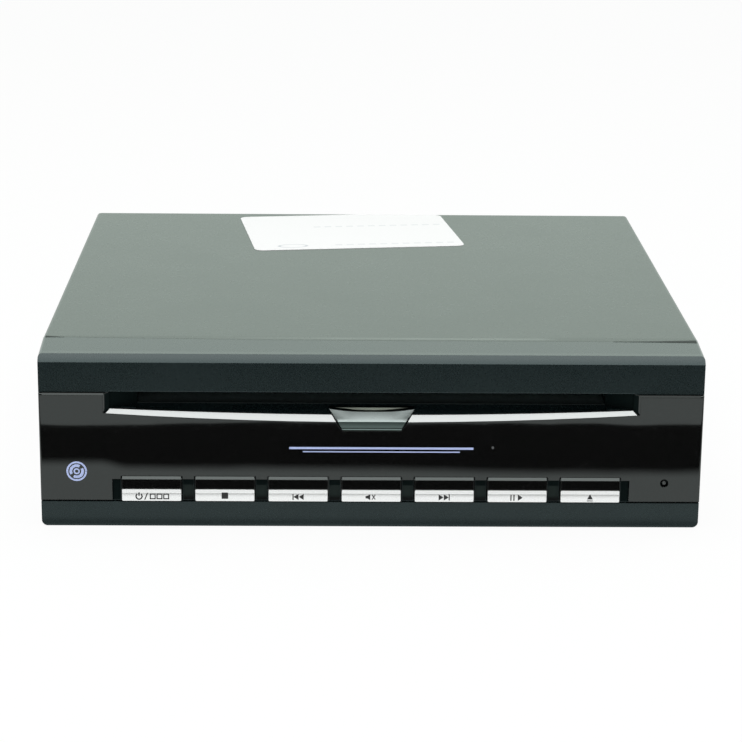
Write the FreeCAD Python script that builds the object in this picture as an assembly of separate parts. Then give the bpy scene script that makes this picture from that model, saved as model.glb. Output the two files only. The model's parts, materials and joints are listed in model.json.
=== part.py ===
import FreeCAD, Part
import math
import os

# Slot-loading disc player for a dashboard opening, in millimetres with +Z up and +Y to the rear.
# Pieces are drawn with Y = 0 on the fascia's front bands. save() then shifts every piece so that
# the origin lies on the base, under the middle of the whole player.

# Fits and gaps
SLIDE_GAP = 0.2  # flat gap round a sliding key
ROOF_GAP = 0.08  # flat gap over a sliding key
SEAT_GAP = 0.1  # flat gap round a piece that is set into a pocket
RUNNING_GAP = 0.05  # radial, shaft turning in a bore
FIXED_GAP = 0.02  # radial, pin held in its hole
FREE_GAP = 0.35  # radial, shaft that passes without touching
SEAM = 0.12  # open line between fascia and case
OVERCUT = 1.0  # how far a cutting tool runs past the piece it cuts
SAME_PLACE = 1e-4

# Disc and slot
DISC_DIAMETER = 120.0
DISC_THICKNESS = 1.2
DISC_SIDE_ROOM = 3.0
DISC_FACE_ROOM = 1.75
FELT_THICKNESS = 0.25
FELT_END_GAP = 1.0
MOUTH_FLARE = 8.5

# Case, from the inside out
SHEET = 0.8
BEND_RADIUS = 1.2
MECHANISM_SHEET = 1.2
GEAR_BAY = 13.0
SIDE_BAY = 10.2
BOARD_BAY = 16.2
DECK_TO_SLOT = 15.7
TOP_BAND = 10.6
REAR_BAY = 17.4
COVER_SIDE_DROP = 22.0
COVER_REAR_DROP = 8.0
COVER_SCREW_X = 58.0

# Fascia
FASCIA_DEPTH = 18.0
FASCIA_DRAFT = 0.5
FASCIA_WALL = 2.4
FRONT_WALL = 3.4
FASCIA_FALL = 0.55  # the top falls by this from the cover to the front
FASCIA_CHAMFER = 1.9
LOWER_CORNER_RADIUS = 1.6
UPPER_CORNER_RADIUS = 1.0
LOWER_BAND = 6.9
GROOVE_WIDTH = 0.45
GROOVE_DEPTH = 0.8
LIP_RADIUS = 0.5
RIM_LENGTH = 4.0
RIM_WALL = 1.8
HOOK_REACH = 0.6
HOOK_LENGTH = 2.0
HOOK_HEIGHT = 6.0
HOOK_GAP = 1.0
THROAT_WALL = 1.5
THROAT_LENGTH = 21.0
MOUTH_LENGTH = 4.3

# Gloss panel, slot trims and thumb scoop
PANEL_PROUD = 0.8
PANEL_INSET = 1.7
PANEL_EDGE_RADIUS = 0.5
EAR_BEVEL = 1.5
TRIM_END_ROOM = 0.8  # from the trim to the slot's end
TRIM_END_DROP = 0.76  # slot floor down to the trim's lower edge at its ends
TRIM_BOW = 2.3
TRIM_BEVEL_END = 1.0
TRIM_BEVEL_MIDDLE = 1.55
SCOOP_TOP_WIDTH = 23.4
SCOOP_FOOT_WIDTH = 15.4
SCOOP_HEIGHT = 5.4
SCOOP_DEPTH = 4.5
SCOOP_EDGE = 0.4
SCOOP_RISE = 1.9
SCOOP_SLOPE = 2.4
SCOOP_LIP = 0.75
SCOOP_SINK = 0.05
SCOOP_PROUD = 0.1

# Keys
KEY_COUNT = 7
KEY_WIDTH = 16.05
KEY_PITCH = 19.6
KEY_PROUD = 1.8
KEY_FOOT = 0.15  # above the groove
PLATE_HEIGHT = 3.5
PLATE_THICKNESS = 0.6
PLATE_CORNER = 0.5
KEY_FACET_HEIGHT = 2.35
KEY_FACET_LEAN = 20.0
KEY_EDGE = 0.9
KEY_TRAVEL = 0.8
KEY_FLANGE = 0.6
KEY_FLANGE_THICKNESS = 1.0
NOTCH_SIDE_ROOM = 2.5
NOTCH_TOOTH = 0.87
STEM_RADIUS = 1.5
STEM_IN_SWITCH = 0.6

# Front board, switches, reset pin and indicator
BOARD_THICKNESS = 1.6
FRONT_BOARD_SETBACK = 12.0
FRONT_BOARD_MARGIN = 1.2
BOSS_RADIUS = 2.5
BOSS_FROM_KEYS = 6.1
BOSS_LIFT = 5.4
SWITCH_SIDE = 6.0
SWITCH_HEIGHT = 3.4
SWITCH_WELL_ROOM = 0.6  # left under a stem that is pressed home
RESET_FROM_KEYS = 11.925  # beyond the last key's side
RESET_FROM_SIDE = 9.7  # least room left to the fascia's side
RESET_LIFT = 5.48  # above the panel's lower edge
RESET_HOLE_RADIUS = 1.1
RESET_PIN_RADIUS = 0.5
RESET_SINK = 0.3
RESET_FLANGE_RADIUS = 1.8
LED_X = 32.4
LED_LIFT = 15.28
LED_RADIUS = 0.3
LED_BODY_RADIUS = 1.5

# Machine screw, shared by boards, bridge and cover
SCREW_RADIUS = 1.3
SCREW_LENGTH = 5.0
SCREW_HEAD_RADIUS = 2.5
SCREW_HEAD_HEIGHT = 1.5
SCREW_SOCKET_RADIUS = 1.0
SCREW_SOCKET_DEPTH = 0.8

# Mechanism frame, its supports and its bridge
FRAME_FRONT_GAP = 4.0
POST_SETBACK = 8.0
POST_INSET = 5.0
POST_RADIUS = 3.5
DAMPER_THICKNESS = 2.0
DAMPER_RADIUS = 5.0
SHOULDER_SCREW_RADIUS = 1.5
SHOULDER_SCREW_GRIP = 8.0
SHOULDER_HEAD_RADIUS = 3.4
SHOULDER_HEAD_HEIGHT = 1.8
BRIDGE_GAP = 0.8
BRIDGE_SHEET = 1.0
BRIDGE_TAB_HEIGHT = 7.4
BRIDGE_TAB_LENGTH = 20.0
BRIDGE_BORDER = 14.0
GUIDE_LIP_LENGTH = 12.0
GUIDE_LIP_THICKNESS = 1.5
GUIDE_WEB_THICKNESS = 2.0
GUIDE_CLEAR = 0.1

# Loading roller, its carriage and its gears
ROLLER_SETBACK = 9.0
ROLLER_RADIUS = 3.2
ROLLER_WAIST_RADIUS = 2.6
ROLLER_PARK = 0.2  # below the slot floor when parked
ROLLER_END_ROOM = 5.0
ROLLER_SHAFT_RADIUS = 1.0
GEAR_MODULE = 0.6
ROLLER_TEETH = 20
IDLER_TEETH = 24
PINION_TEETH = 10
GEAR_WIDTH = 3.0
GEAR_BACKLASH = 0.1
GEAR_ADDENDUM = 0.8  # share of the module
GEAR_DEDENDUM = 1.2  # share of the module
TOOTH_ROOT_SHARE = 0.29  # half a tooth at its root, as a share of one tooth step
TOOTH_TIP_SHARE = 0.10
PIVOT_DROP = 2.3
MOTOR_DROP = 0.5
CARRIAGE_SHEET = 1.2
CARRIAGE_ARM_GAP = 1.0
CARRIAGE_GEAR_GAP = 1.3
CARRIAGE_EYE = 2.5
CARRIAGE_BAR_DROP = 7.0
CARRIAGE_BAR_HALF = 6.0
PIVOT_PIN_RADIUS = 1.5
PIN_OVERHANG = 1.0
LOADING_MOTOR_RADIUS = 5.0
LOADING_MOTOR_LENGTH = 22.0
LOADING_MOTOR_NOSE_RADIUS = 1.6
PINION_SHAFT_RADIUS = 0.75
PINION_SHAFT_GRIP = 1.0

# Spindle, turntable and clamp
EDGE_PAST_ROLLER = 3.0
SPINDLE_MOTOR_RADIUS = 13.0
SPINDLE_MOTOR_HEIGHT = 6.8
SPINDLE_RADIUS = 1.0
SPINDLE_GRIP = 5.0
TURNTABLE_RADIUS = 15.0
TURNTABLE_DROP = 1.7  # slot floor down to the disc seat
TURNTABLE_THICKNESS = 2.5
TURNTABLE_NECK_RADIUS = 5.0
TURNTABLE_NECK_HEIGHT = 2.0
HUB_RADIUS = 7.4
HUB_TIP_RADIUS = 6.2
HUB_HEIGHT = 1.7
PUCK_RADIUS = 13.0
PUCK_LIFT = 0.2  # above the slot's top
PUCK_THICKNESS = 2.6
PUCK_RECESS_RADIUS = 9.0
PUCK_RECESS_DEPTH = 1.2
PUCK_STEM_RADIUS = 3.0
PUCK_CAP_RADIUS = 5.0
PUCK_CAP_HEIGHT = 1.0
PUCK_PLAY = 0.2
CLAMP_SHEET = 1.0
CLAMP_LENGTH = 60.0
CLAMP_NOSE = 8.0
CLAMP_NOSE_WIDTH = 30.0
CLAMP_TAIL_WIDTH = 36.0
CLAMP_PIN_RADIUS = 1.25
CLAMP_PIN_LIFT = 1.8  # above the arm's plate
CLAMP_LUG_HALF = 3.0
CLAMP_EAR_GAP = 2.0
CLAMP_EAR_SHEET = 1.2
CLAMP_SPRING_RADIUS = 2.0
CLAMP_SPRING_LENGTH = 16.0

# Pickup
LENS_INNER_RADIUS = 24.0
SLED_TRAVEL = 34.0
SLED_LENGTH = 16.0
SLED_HALF_WIDTH = 12.0
SLED_FLOOR_GAP = 2.3
SLED_HEIGHT = 7.0
LENS_RADIUS = 2.4
LENS_HOLDER_SIDE = 9.0
LENS_HOLDER_HEIGHT = 1.4
LENS_RISE = 0.6
ROD_X = 17.0
ROD_RADIUS = 1.5
ROD_LIFT = 5.8  # above the deck
BUSH_HALF = 4.0
BUSH_HEIGHT = 6.0
BUSH_LENGTH = 12.0
NUT_LENGTH = 4.0
HOLDER_LENGTH = 3.0
HOLDER_WIDTH = 6.0
HOLDER_CROWN = 2.5
HOLDER_ROOM = 1.0
SLED_MOTOR_RADIUS = 4.5
SLED_MOTOR_LENGTH = 11.0
SCREW_GRIP_IN_MOTOR = 1.5

# Main board and rear connectors
BOARD_LIFT = 4.2
BOARD_SIDE_GAP = 5.5
BOARD_FRONT_GAP = 12.0
BOARD_REAR_GAP = 1.4
STANDOFF_RADIUS = 3.0
STANDOFF_INSET = 6.0
STANDOFF_SETBACK = 8.0
CHIP_SIDE = 22.0
CHIP_HEIGHT = 2.2
CHIP_X = 24.0
MEMORY_WIDTH = 12.0
MEMORY_LENGTH = 20.0
CAPACITOR_COUNT = 4
CAPACITOR_PITCH = 10.4
CAPACITOR_RADIUS = 4.0
CAPACITOR_HEIGHT = 8.0
JACK_COUNT = 3
JACK_X = 41.0
JACK_PITCH = 14.0
JACK_RADIUS = 4.15
JACK_BORE_RADIUS = 1.8
JACK_BORE_DEPTH = 7.0
JACK_REACH = 8.0
JACK_HOLE_GAP = 0.35
JACK_BLOCK_HEIGHT = 14.0
JACK_BLOCK_DEPTH = 11.0
PLUG_X = -46.0
PLUG_WIDTH = 34.0
PLUG_HEIGHT = 16.0
PLUG_DEPTH = 11.0
PLUG_REACH = 2.0
PLUG_WALL = 2.0
PLUG_CAVITY_DEPTH = 9.0
PLUG_PIN_COLUMNS = 5
PLUG_PIN_RADIUS = 0.6
PLUG_PIN_SPREAD = 4.4
PLUG_PIN_PITCH = 6.0
PLUG_PIN_LENGTH = 6.0
STUD_X = -10.0
STUD_LIFT = 30.0
STUD_RADIUS = 2.5
STUD_REACH = 9.0
STUD_FLANGE_RADIUS = 5.0
STUD_FLANGE_THICKNESS = 1.5
STUD_COLLAR_RADIUS = 4.6
STUD_COLLAR_THICKNESS = 2.0
CABLE_X = 30.0
CABLE_WIDTH = 24.0
CABLE_THICKNESS = 0.3
CABLE_SOCKET_DEPTH = 4.0
CABLE_SOCKET_HEIGHT = 3.0
CABLE_SOCKET_RIM = 1.0

# Side mounts, vents and label
MOUNT_HOLE_RADIUS = 2.65
MOUNT_LIFT = 14.0
MOUNT_SETBACK = 42.0
MOUNT_SPACING = 80.0
VENT_WIDTH = 2.5
VENT_LENGTH = 12.0
VENT_PITCH = 6.0
SIDE_VENT_COUNT = 8
REAR_VENT_COUNT = 8
REAR_VENT_X = 14.0
LABEL_WIDTH = 66.9
LABEL_DEPTH = 51.6
LABEL_THICKNESS = 0.12
LABEL_CORNER = 2.6
LABEL_TURN = 7.5
LABEL_X = -4.57
LABEL_REAR_GAP = 26.2

# Widths, as distances from the middle plane; the case clears the mechanism and takes in the key row
THROAT_HALF = DISC_DIAMETER / 2 + DISC_SIDE_ROOM
RECESS_HALF = THROAT_HALF + MOUTH_FLARE
FRAME_INNER = THROAT_HALF + GEAR_BAY
FRAME_OUTER = FRAME_INNER + MECHANISM_SHEET
KEY_ROW_HALF = (KEY_COUNT - 1) / 2 * KEY_PITCH + KEY_WIDTH / 2
RESET_X = KEY_ROW_HALF + RESET_FROM_KEYS
ROW_NEEDS = RESET_X + RESET_FROM_SIDE + FASCIA_DRAFT - 2 * SHEET
CHASSIS_INNER = max(FRAME_OUTER + SIDE_BAY, ROW_NEEDS)
CHASSIS_HALF = CHASSIS_INNER + SHEET
BODY_HALF = CHASSIS_HALF + SHEET
FRONT_HALF = BODY_HALF - FASCIA_DRAFT

# Heights
DECK_Z = SHEET + BOARD_BAY
DECK_TOP = DECK_Z + MECHANISM_SHEET
SLOT_FLOOR = DECK_Z + DECK_TO_SLOT
SLOT_TOP = SLOT_FLOOR + DISC_THICKNESS + 2 * DISC_FACE_ROOM
BODY_HEIGHT = SLOT_TOP + TOP_BAND
COVER_UNDER = BODY_HEIGHT - SHEET
FASCIA_HEIGHT = BODY_HEIGHT - FASCIA_FALL
PANEL_FOOT = LOWER_BAND + GROOVE_WIDTH
PANEL_TOP = SLOT_TOP - SEAT_GAP
KEY_FOOT_Z = PANEL_FOOT + KEY_FOOT
PLATE_TOP = KEY_FOOT_Z + PLATE_HEIGHT
FACET_TOP = PLATE_TOP + KEY_FACET_HEIGHT
KEY_TOP = FACET_TOP + KEY_EDGE
BRIDGE_Z = COVER_UNDER - BRIDGE_GAP - BRIDGE_SHEET
BOARD_Z = SHEET + BOARD_LIFT
BOARD_TOP = BOARD_Z + BOARD_THICKNESS
ROLLER_Z = SLOT_FLOOR - ROLLER_PARK - ROLLER_RADIUS
PIVOT_Z = ROLLER_Z - PIVOT_DROP
MOTOR_Z = PIVOT_Z - MOTOR_DROP
ROD_Z = DECK_TOP + ROD_LIFT
DISC_SEAT = SLOT_FLOOR - TURNTABLE_DROP
PUCK_FOOT = SLOT_TOP + PUCK_LIFT
CLAMP_Z = PUCK_FOOT + PUCK_THICKNESS + PUCK_PLAY
CLAMP_TOP = CLAMP_Z + CLAMP_SHEET
CLAMP_PIN_Z = CLAMP_TOP + CLAMP_PIN_LIFT

# Depths
PANEL_FRONT = -PANEL_PROUD
CASE_FRONT = FASCIA_DEPTH + SEAM
ROLLER_Y = FASCIA_DEPTH + ROLLER_SETBACK
PITCH_ROLLER = GEAR_MODULE * ROLLER_TEETH / 2
PITCH_IDLER = GEAR_MODULE * IDLER_TEETH / 2
PITCH_PINION = GEAR_MODULE * PINION_TEETH / 2
ROLLER_CENTRES = PITCH_ROLLER + PITCH_IDLER + GEAR_BACKLASH
PINION_CENTRES = PITCH_PINION + PITCH_IDLER + GEAR_BACKLASH
PIVOT_Y = ROLLER_Y + math.sqrt(ROLLER_CENTRES**2 - PIVOT_DROP**2)
MOTOR_Y = PIVOT_Y + math.sqrt(PINION_CENTRES**2 - MOTOR_DROP**2)
SPINDLE_Y = ROLLER_Y + EDGE_PAST_ROLLER + DISC_DIAMETER / 2
SLED_Y = SPINDLE_Y + LENS_INNER_RADIUS
FRAME_FRONT = FASCIA_DEPTH + FRAME_FRONT_GAP
FRONT_HOLDER_Y = SLED_Y - BUSH_LENGTH / 2 - HOLDER_ROOM - HOLDER_LENGTH
REAR_HOLDER_Y = SLED_Y + SLED_TRAVEL + BUSH_LENGTH / 2 + HOLDER_ROOM
DECK_REAR = REAR_HOLDER_Y + HOLDER_LENGTH + HOLDER_ROOM
REAR_WALL_Y = DECK_REAR + REAR_BAY
BODY_REAR = REAR_WALL_Y + 2 * SHEET
CLAMP_PIN_Y = SPINDLE_Y + CLAMP_LENGTH
POST_YS = (FRAME_FRONT + POST_SETBACK, DECK_REAR - POST_SETBACK)
POST_X = FRAME_INNER - POST_INSET
BOARD_HALF = POST_X - POST_RADIUS - BOARD_SIDE_GAP
BOARD_FRONT = FASCIA_DEPTH + BOARD_FRONT_GAP
BOARD_REAR = REAR_WALL_Y - BOARD_REAR_GAP
STUD_TIP = BODY_REAR + STUD_REACH
FRONT_Y = -(STUD_TIP - KEY_PROUD) / 2

# Places along X
KEY_XS = [(index - (KEY_COUNT - 1) / 2) * KEY_PITCH for index in range(KEY_COUNT)]
KEY_NAMES = ("power", "stop", "previous", "mute", "next", "play_pause", "eject")
NOTCH_HALF = KEY_ROW_HALF + NOTCH_SIDE_ROOM
ARM_INNER = THROAT_HALF + CARRIAGE_ARM_GAP
ARM_OUTER = ARM_INNER + CARRIAGE_SHEET
GEAR_X0 = -(ARM_OUTER + CARRIAGE_GEAR_GAP + GEAR_WIDTH)
GEAR_X1 = GEAR_X0 + GEAR_WIDTH
BOSS_X = KEY_ROW_HALF + KEY_FLANGE + BOSS_FROM_KEYS
BOSS_ZS = (BOSS_LIFT, SLOT_FLOOR - THROAT_WALL - BOSS_RADIUS - FRONT_BOARD_MARGIN)


def point(x, y, z):
    return FreeCAD.Vector(x, y, z)


def box(x0, x1, y0, y1, z0, z1):
    return Part.makeBox(x1 - x0, y1 - y0, z1 - z0, point(x0, y0, z0))


def rod_x(radius, x0, x1, y, z):
    return Part.makeCylinder(radius, x1 - x0, point(x0, y, z), point(1, 0, 0))


def rod_y(radius, x, y0, y1, z):
    return Part.makeCylinder(radius, y1 - y0, point(x, y0, z), point(0, 1, 0))


def rod_z(radius, x, y, z0, z1):
    return Part.makeCylinder(radius, z1 - z0, point(x, y, z0), point(0, 0, 1))


def face(points):
    return Part.Face(Part.makePolygon(points + points[:1]))


def prism_x(outline, x0, x1):
    """Outline of (y, z) points, carried along X."""
    return face([point(x0, y, z) for y, z in outline]).extrude(point(x1 - x0, 0, 0))


def prism_y(outline, y0, y1):
    """Outline of (x, z) points, carried along Y."""
    return face([point(x, y0, z) for x, z in outline]).extrude(point(0, y1 - y0, 0))


def prism_z(outline, z0, z1):
    """Outline of (x, y) points, carried along Z."""
    return face([point(x, y, z0) for x, y in outline]).extrude(point(0, 0, z1 - z0))


def join(pieces):
    return pieces[0].multiFuse(pieces[1:]).removeSplitter()


def cut(piece, tools):
    return piece.cut(Part.makeCompound(tools))


def group(pieces):
    return Part.makeCompound(pieces)


def round_edges(piece, radius, wanted):
    """Rounds the edges whose middle point passes the test."""
    edges = [edge for edge in piece.Edges if wanted(edge.CenterOfMass)]
    return piece.makeFillet(radius, edges)


def near(value, target):
    return abs(value - target) < SAME_PLACE


def save(name, piece):
    moved = piece.copy()
    moved.translate(point(0, FRONT_Y, 0))
    moved.exportStep(os.path.join("parts", name + ".step"))


def screw(seat, axis):
    """Screw with its head on the seat and its shank along the axis."""
    shank = Part.makeCylinder(SCREW_RADIUS, SCREW_LENGTH, seat, axis)
    head = Part.makeCylinder(SCREW_HEAD_RADIUS, SCREW_HEAD_HEIGHT, seat, -axis)
    crown = seat - axis * SCREW_HEAD_HEIGHT
    socket = Part.makeCylinder(SCREW_SOCKET_RADIUS, SCREW_SOCKET_DEPTH, crown, axis)
    return shank.fuse(head).removeSplitter().cut(socket)


def screw_hole(seat, axis):
    """Hole that a screw goes into, from a little before its seat to a little past its tip."""
    start = seat - axis * OVERCUT
    return Part.makeCylinder(SCREW_RADIUS + SEAT_GAP, SCREW_LENGTH + 2 * OVERCUT, start, axis)


# Screws, as (seat under the head, direction of the shank)
def front_board_screws():
    rear = FRONT_BOARD_SETBACK + BOARD_THICKNESS
    return [(point(x, rear, z), point(0, -1, 0)) for x in (-BOSS_X, BOSS_X) for z in BOSS_ZS]


def main_board_screws():
    xs = (STANDOFF_INSET - BOARD_HALF, BOARD_HALF - STANDOFF_INSET)
    ys = (BOARD_FRONT + STANDOFF_SETBACK, BOARD_REAR - JACK_BLOCK_DEPTH - STANDOFF_SETBACK)
    return [(point(x, y, BOARD_TOP), point(0, 0, -1)) for x in xs for y in ys]


def bridge_tabs():
    """Middle of each side tab of the bridge along Y."""
    return [y + side * BRIDGE_TAB_LENGTH for y, side in zip(POST_YS, (1, -1))]


def bridge_screws():
    seat = FRAME_OUTER + BRIDGE_SHEET
    z = BRIDGE_Z - BRIDGE_TAB_HEIGHT / 2
    return [(point(side * seat, y, z), point(-side, 0, 0)) for side in (-1, 1) for y in bridge_tabs()]


def cover_screws():
    z = BODY_HEIGHT - COVER_REAR_DROP / 2
    return [(point(x, BODY_REAR, z), point(0, -1, 0)) for x in (-COVER_SCREW_X, 0, COVER_SCREW_X)]


# Sheet-metal case
def mount_ys():
    return [FASCIA_DEPTH + MOUNT_SETBACK + step * MOUNT_SPACING for step in (0, 1)]


def side_openings(side):
    """Mount holes, vents between them and the window for the fascia's hook, in one side wall."""
    x0, x1 = sorted((side * (CHASSIS_INNER - OVERCUT), side * (CHASSIS_HALF + OVERCUT)))
    tools = [rod_x(MOUNT_HOLE_RADIUS, x0, x1, y, MOUNT_LIFT) for y in mount_ys()]
    middle = sum(mount_ys()) / 2
    for index in range(SIDE_VENT_COUNT):
        y = middle + (index - (SIDE_VENT_COUNT - 1) / 2) * VENT_PITCH
        z0 = MOUNT_LIFT - VENT_LENGTH / 2
        tools.append(box(x0, x1, y - VENT_WIDTH / 2, y + VENT_WIDTH / 2, z0, z0 + VENT_LENGTH))
    y0, y1, z0, z1 = hook_span()
    gap = SLIDE_GAP
    tools.append(box(x0, x1, y0 - gap, y1 + gap, z0 - gap, z1 + gap))
    return tools


def hook_span():
    """Y and Z limits of the fascia's side hooks."""
    y0 = FASCIA_DEPTH + RIM_LENGTH - HOOK_LENGTH - SLIDE_GAP
    z1 = BODY_HEIGHT - COVER_SIDE_DROP - HOOK_GAP
    return y0, y0 + HOOK_LENGTH, z1 - HOOK_HEIGHT, z1


def rear_openings():
    """Holes in the rear wall for the jacks, the plug, the stud, the screws and the air."""
    y0, y1 = REAR_WALL_Y - OVERCUT, REAR_WALL_Y + SHEET + OVERCUT
    tools = [rod_y(JACK_RADIUS + JACK_HOLE_GAP, x, y0, y1, jack_z()) for x in jack_xs()]
    half = PLUG_WIDTH / 2 + SLIDE_GAP
    z0, z1 = BOARD_TOP - SLIDE_GAP, BOARD_TOP + PLUG_HEIGHT + SLIDE_GAP
    tools.append(box(PLUG_X - half, PLUG_X + half, y0, y1, z0, z1))
    tools.append(rod_y(STUD_RADIUS + SEAT_GAP, STUD_X, y0, y1, STUD_LIFT))
    z0 = BOARD_TOP + JACK_BLOCK_HEIGHT + VENT_WIDTH
    for index in range(REAR_VENT_COUNT):
        x = REAR_VENT_X + index * VENT_PITCH
        tools.append(box(x, x + VENT_WIDTH, y0, y1, z0, z0 + VENT_LENGTH))
    tools += [screw_hole(seat, axis) for seat, axis in cover_screws()]
    return tools


def bottom_chassis():
    outer = box(-CHASSIS_HALF, CHASSIS_HALF, CASE_FRONT, REAR_WALL_Y + SHEET, 0, COVER_UNDER)
    outer = round_edges(outer, BEND_RADIUS, lambda c: near(c.z, 0) and not near(c.y, CASE_FRONT))
    front = CASE_FRONT - OVERCUT
    inside = box(-CHASSIS_INNER, CHASSIS_INNER, front, REAR_WALL_Y, SHEET, COVER_UNDER + OVERCUT)
    return cut(outer, [inside] + side_openings(-1) + side_openings(1) + rear_openings())


def top_cover():
    foot = BODY_HEIGHT - COVER_SIDE_DROP
    outer = box(-BODY_HALF, BODY_HALF, CASE_FRONT, BODY_REAR, foot, BODY_HEIGHT)
    outer = round_edges(outer, BEND_RADIUS, lambda c: not near(c.y, CASE_FRONT) and not near(c.z, foot))
    front = CASE_FRONT - OVERCUT
    rear = REAR_WALL_Y + SHEET
    low = foot - OVERCUT
    inside = box(-CHASSIS_HALF, CHASSIS_HALF, front, rear, low, COVER_UNDER)
    wide = BODY_HALF + OVERCUT
    below = box(-wide, wide, rear, BODY_REAR + OVERCUT, low, BODY_HEIGHT - COVER_REAR_DROP)
    return cut(outer, [inside, below] + [screw_hole(seat, axis) for seat, axis in cover_screws()])


def top_label():
    """Sticker laid askew; the corner that would run over the cover's rear bend is trimmed off."""
    blank = box(-LABEL_WIDTH / 2, LABEL_WIDTH / 2, -LABEL_DEPTH / 2, LABEL_DEPTH / 2, 0, LABEL_THICKNESS)
    mid_height = LABEL_THICKNESS / 2
    blank = round_edges(blank, LABEL_CORNER, lambda c: near(c.z, mid_height))
    blank.rotate(point(0, 0, 0), point(0, 0, 1), LABEL_TURN)
    blank.translate(point(LABEL_X, BODY_REAR - LABEL_REAR_GAP, BODY_HEIGHT))
    reach = LABEL_WIDTH + LABEL_DEPTH
    trim = BODY_REAR - BEND_RADIUS
    top = BODY_HEIGHT + LABEL_THICKNESS + OVERCUT
    beyond = box(LABEL_X - reach, LABEL_X + reach, trim, trim + reach, BODY_HEIGHT - OVERCUT, top)
    return cut(blank, [beyond])


# Fascia
def fascia_shell():
    """Moulding before its openings: drafted outside, hollow behind the front wall, rim for the case."""
    outline = [
        (-FRONT_HALF, 0),
        (FRONT_HALF, 0),
        (BODY_HALF, FASCIA_DEPTH),
        (-BODY_HALF, FASCIA_DEPTH),
    ]
    outer = prism_z(outline, 0, BODY_HEIGHT)
    side = BODY_HALF + OVERCUT
    slope = [(0, FASCIA_HEIGHT), (FASCIA_DEPTH, BODY_HEIGHT), (0, BODY_HEIGHT)]
    outer = cut(outer, [prism_x(slope, -side, side)])
    for radius, low, high in ((LOWER_CORNER_RADIUS, 0, 0), (UPPER_CORNER_RADIUS, FASCIA_HEIGHT, BODY_HEIGHT)):
        level = (low + high) / 2
        outer = round_edges(outer, radius, lambda c: near(c.z, level) and abs(c.x) > FRONT_HALF / 2)
    ledge = FASCIA_HEIGHT - FASCIA_CHAMFER
    wedge = [(0, ledge), (BODY_HEIGHT - ledge, BODY_HEIGHT), (-OVERCUT, BODY_HEIGHT), (-OVERCUT, ledge)]
    outer = cut(outer, [prism_x(wedge, -side, side)])
    inner = BODY_HALF - FASCIA_WALL
    ceiling = FASCIA_HEIGHT - FASCIA_WALL
    hollow = box(-inner, inner, FRONT_WALL, FASCIA_DEPTH + OVERCUT, FASCIA_WALL, ceiling)
    rim_half = CHASSIS_INNER - SLIDE_GAP
    rim_y0 = FASCIA_DEPTH - RIM_LENGTH
    rim_y1 = FASCIA_DEPTH + RIM_LENGTH
    rim_z0 = SHEET + SLIDE_GAP
    rim_z1 = COVER_UNDER - SLIDE_GAP
    rim = box(-rim_half, rim_half, rim_y0, rim_y1, rim_z0, rim_z1)
    bore_half = rim_half - RIM_WALL
    bore_z0 = rim_z0 + RIM_WALL
    bore_z1 = rim_z1 - RIM_WALL
    rim = rim.cut(box(-bore_half, bore_half, rim_y0 - OVERCUT, rim_y1 + OVERCUT, bore_z0, bore_z1))
    y0, y1, z0, z1 = hook_span()
    tip = rim_half + HOOK_REACH
    hooks = [box(-tip, -rim_half, y0, y1, z0, z1), box(rim_half, tip, y0, y1, z0, z1)]
    throat_half = THROAT_HALF + THROAT_WALL
    root = FRONT_WALL / 2
    throat_z0 = SLOT_FLOOR - THROAT_WALL
    throat_z1 = SLOT_TOP + THROAT_WALL
    throat = box(-throat_half, throat_half, root, THROAT_LENGTH, throat_z0, throat_z1)
    places = [(x, z) for x in (-BOSS_X, BOSS_X) for z in BOSS_ZS]
    bosses = [rod_y(BOSS_RADIUS, x, root, FRONT_BOARD_SETBACK, z) for x, z in places]
    return join([cut(outer, [hollow]), rim, throat] + hooks + bosses)


def panel_outline(grow, half):
    """Gloss panel without its slot, as a plate and the tools that notch it over the key row."""
    y0, y1 = PANEL_FRONT - grow, PANEL_INSET
    plate = box(-half, half, y0, y1, PANEL_FOOT - grow, PANEL_TOP + grow)
    notch_half = NOTCH_HALF - grow
    tools = [box(-notch_half, notch_half, y0 - OVERCUT, y1 + OVERCUT, 0, notch_top() - grow)]
    for x in KEY_XS:
        key_half = KEY_WIDTH / 2 + SLIDE_GAP - grow
        top = KEY_TOP + ROOF_GAP - grow
        tools.append(box(x - key_half, x + key_half, y0 - OVERCUT, y1 + OVERCUT, 0, top))
    return plate, tools


def notch_top():
    """Top of the notch between the keys; over each key it is a tooth higher."""
    return KEY_TOP + ROOF_GAP - NOTCH_TOOTH


def scoop_outline(grow):
    """Front view of the thumb scoop: narrow foot, wide top."""
    foot_half = SCOOP_FOOT_WIDTH / 2 + grow
    top_half = SCOOP_TOP_WIDTH / 2 + grow
    foot = scoop_foot() - grow
    top = scoop_foot() + SCOOP_HEIGHT + grow
    return [(-foot_half, foot), (foot_half, foot), (top_half, top), (-top_half, top)]


def scoop_foot():
    return SLOT_FLOOR - SCOOP_SINK - SCOOP_HEIGHT


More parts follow.
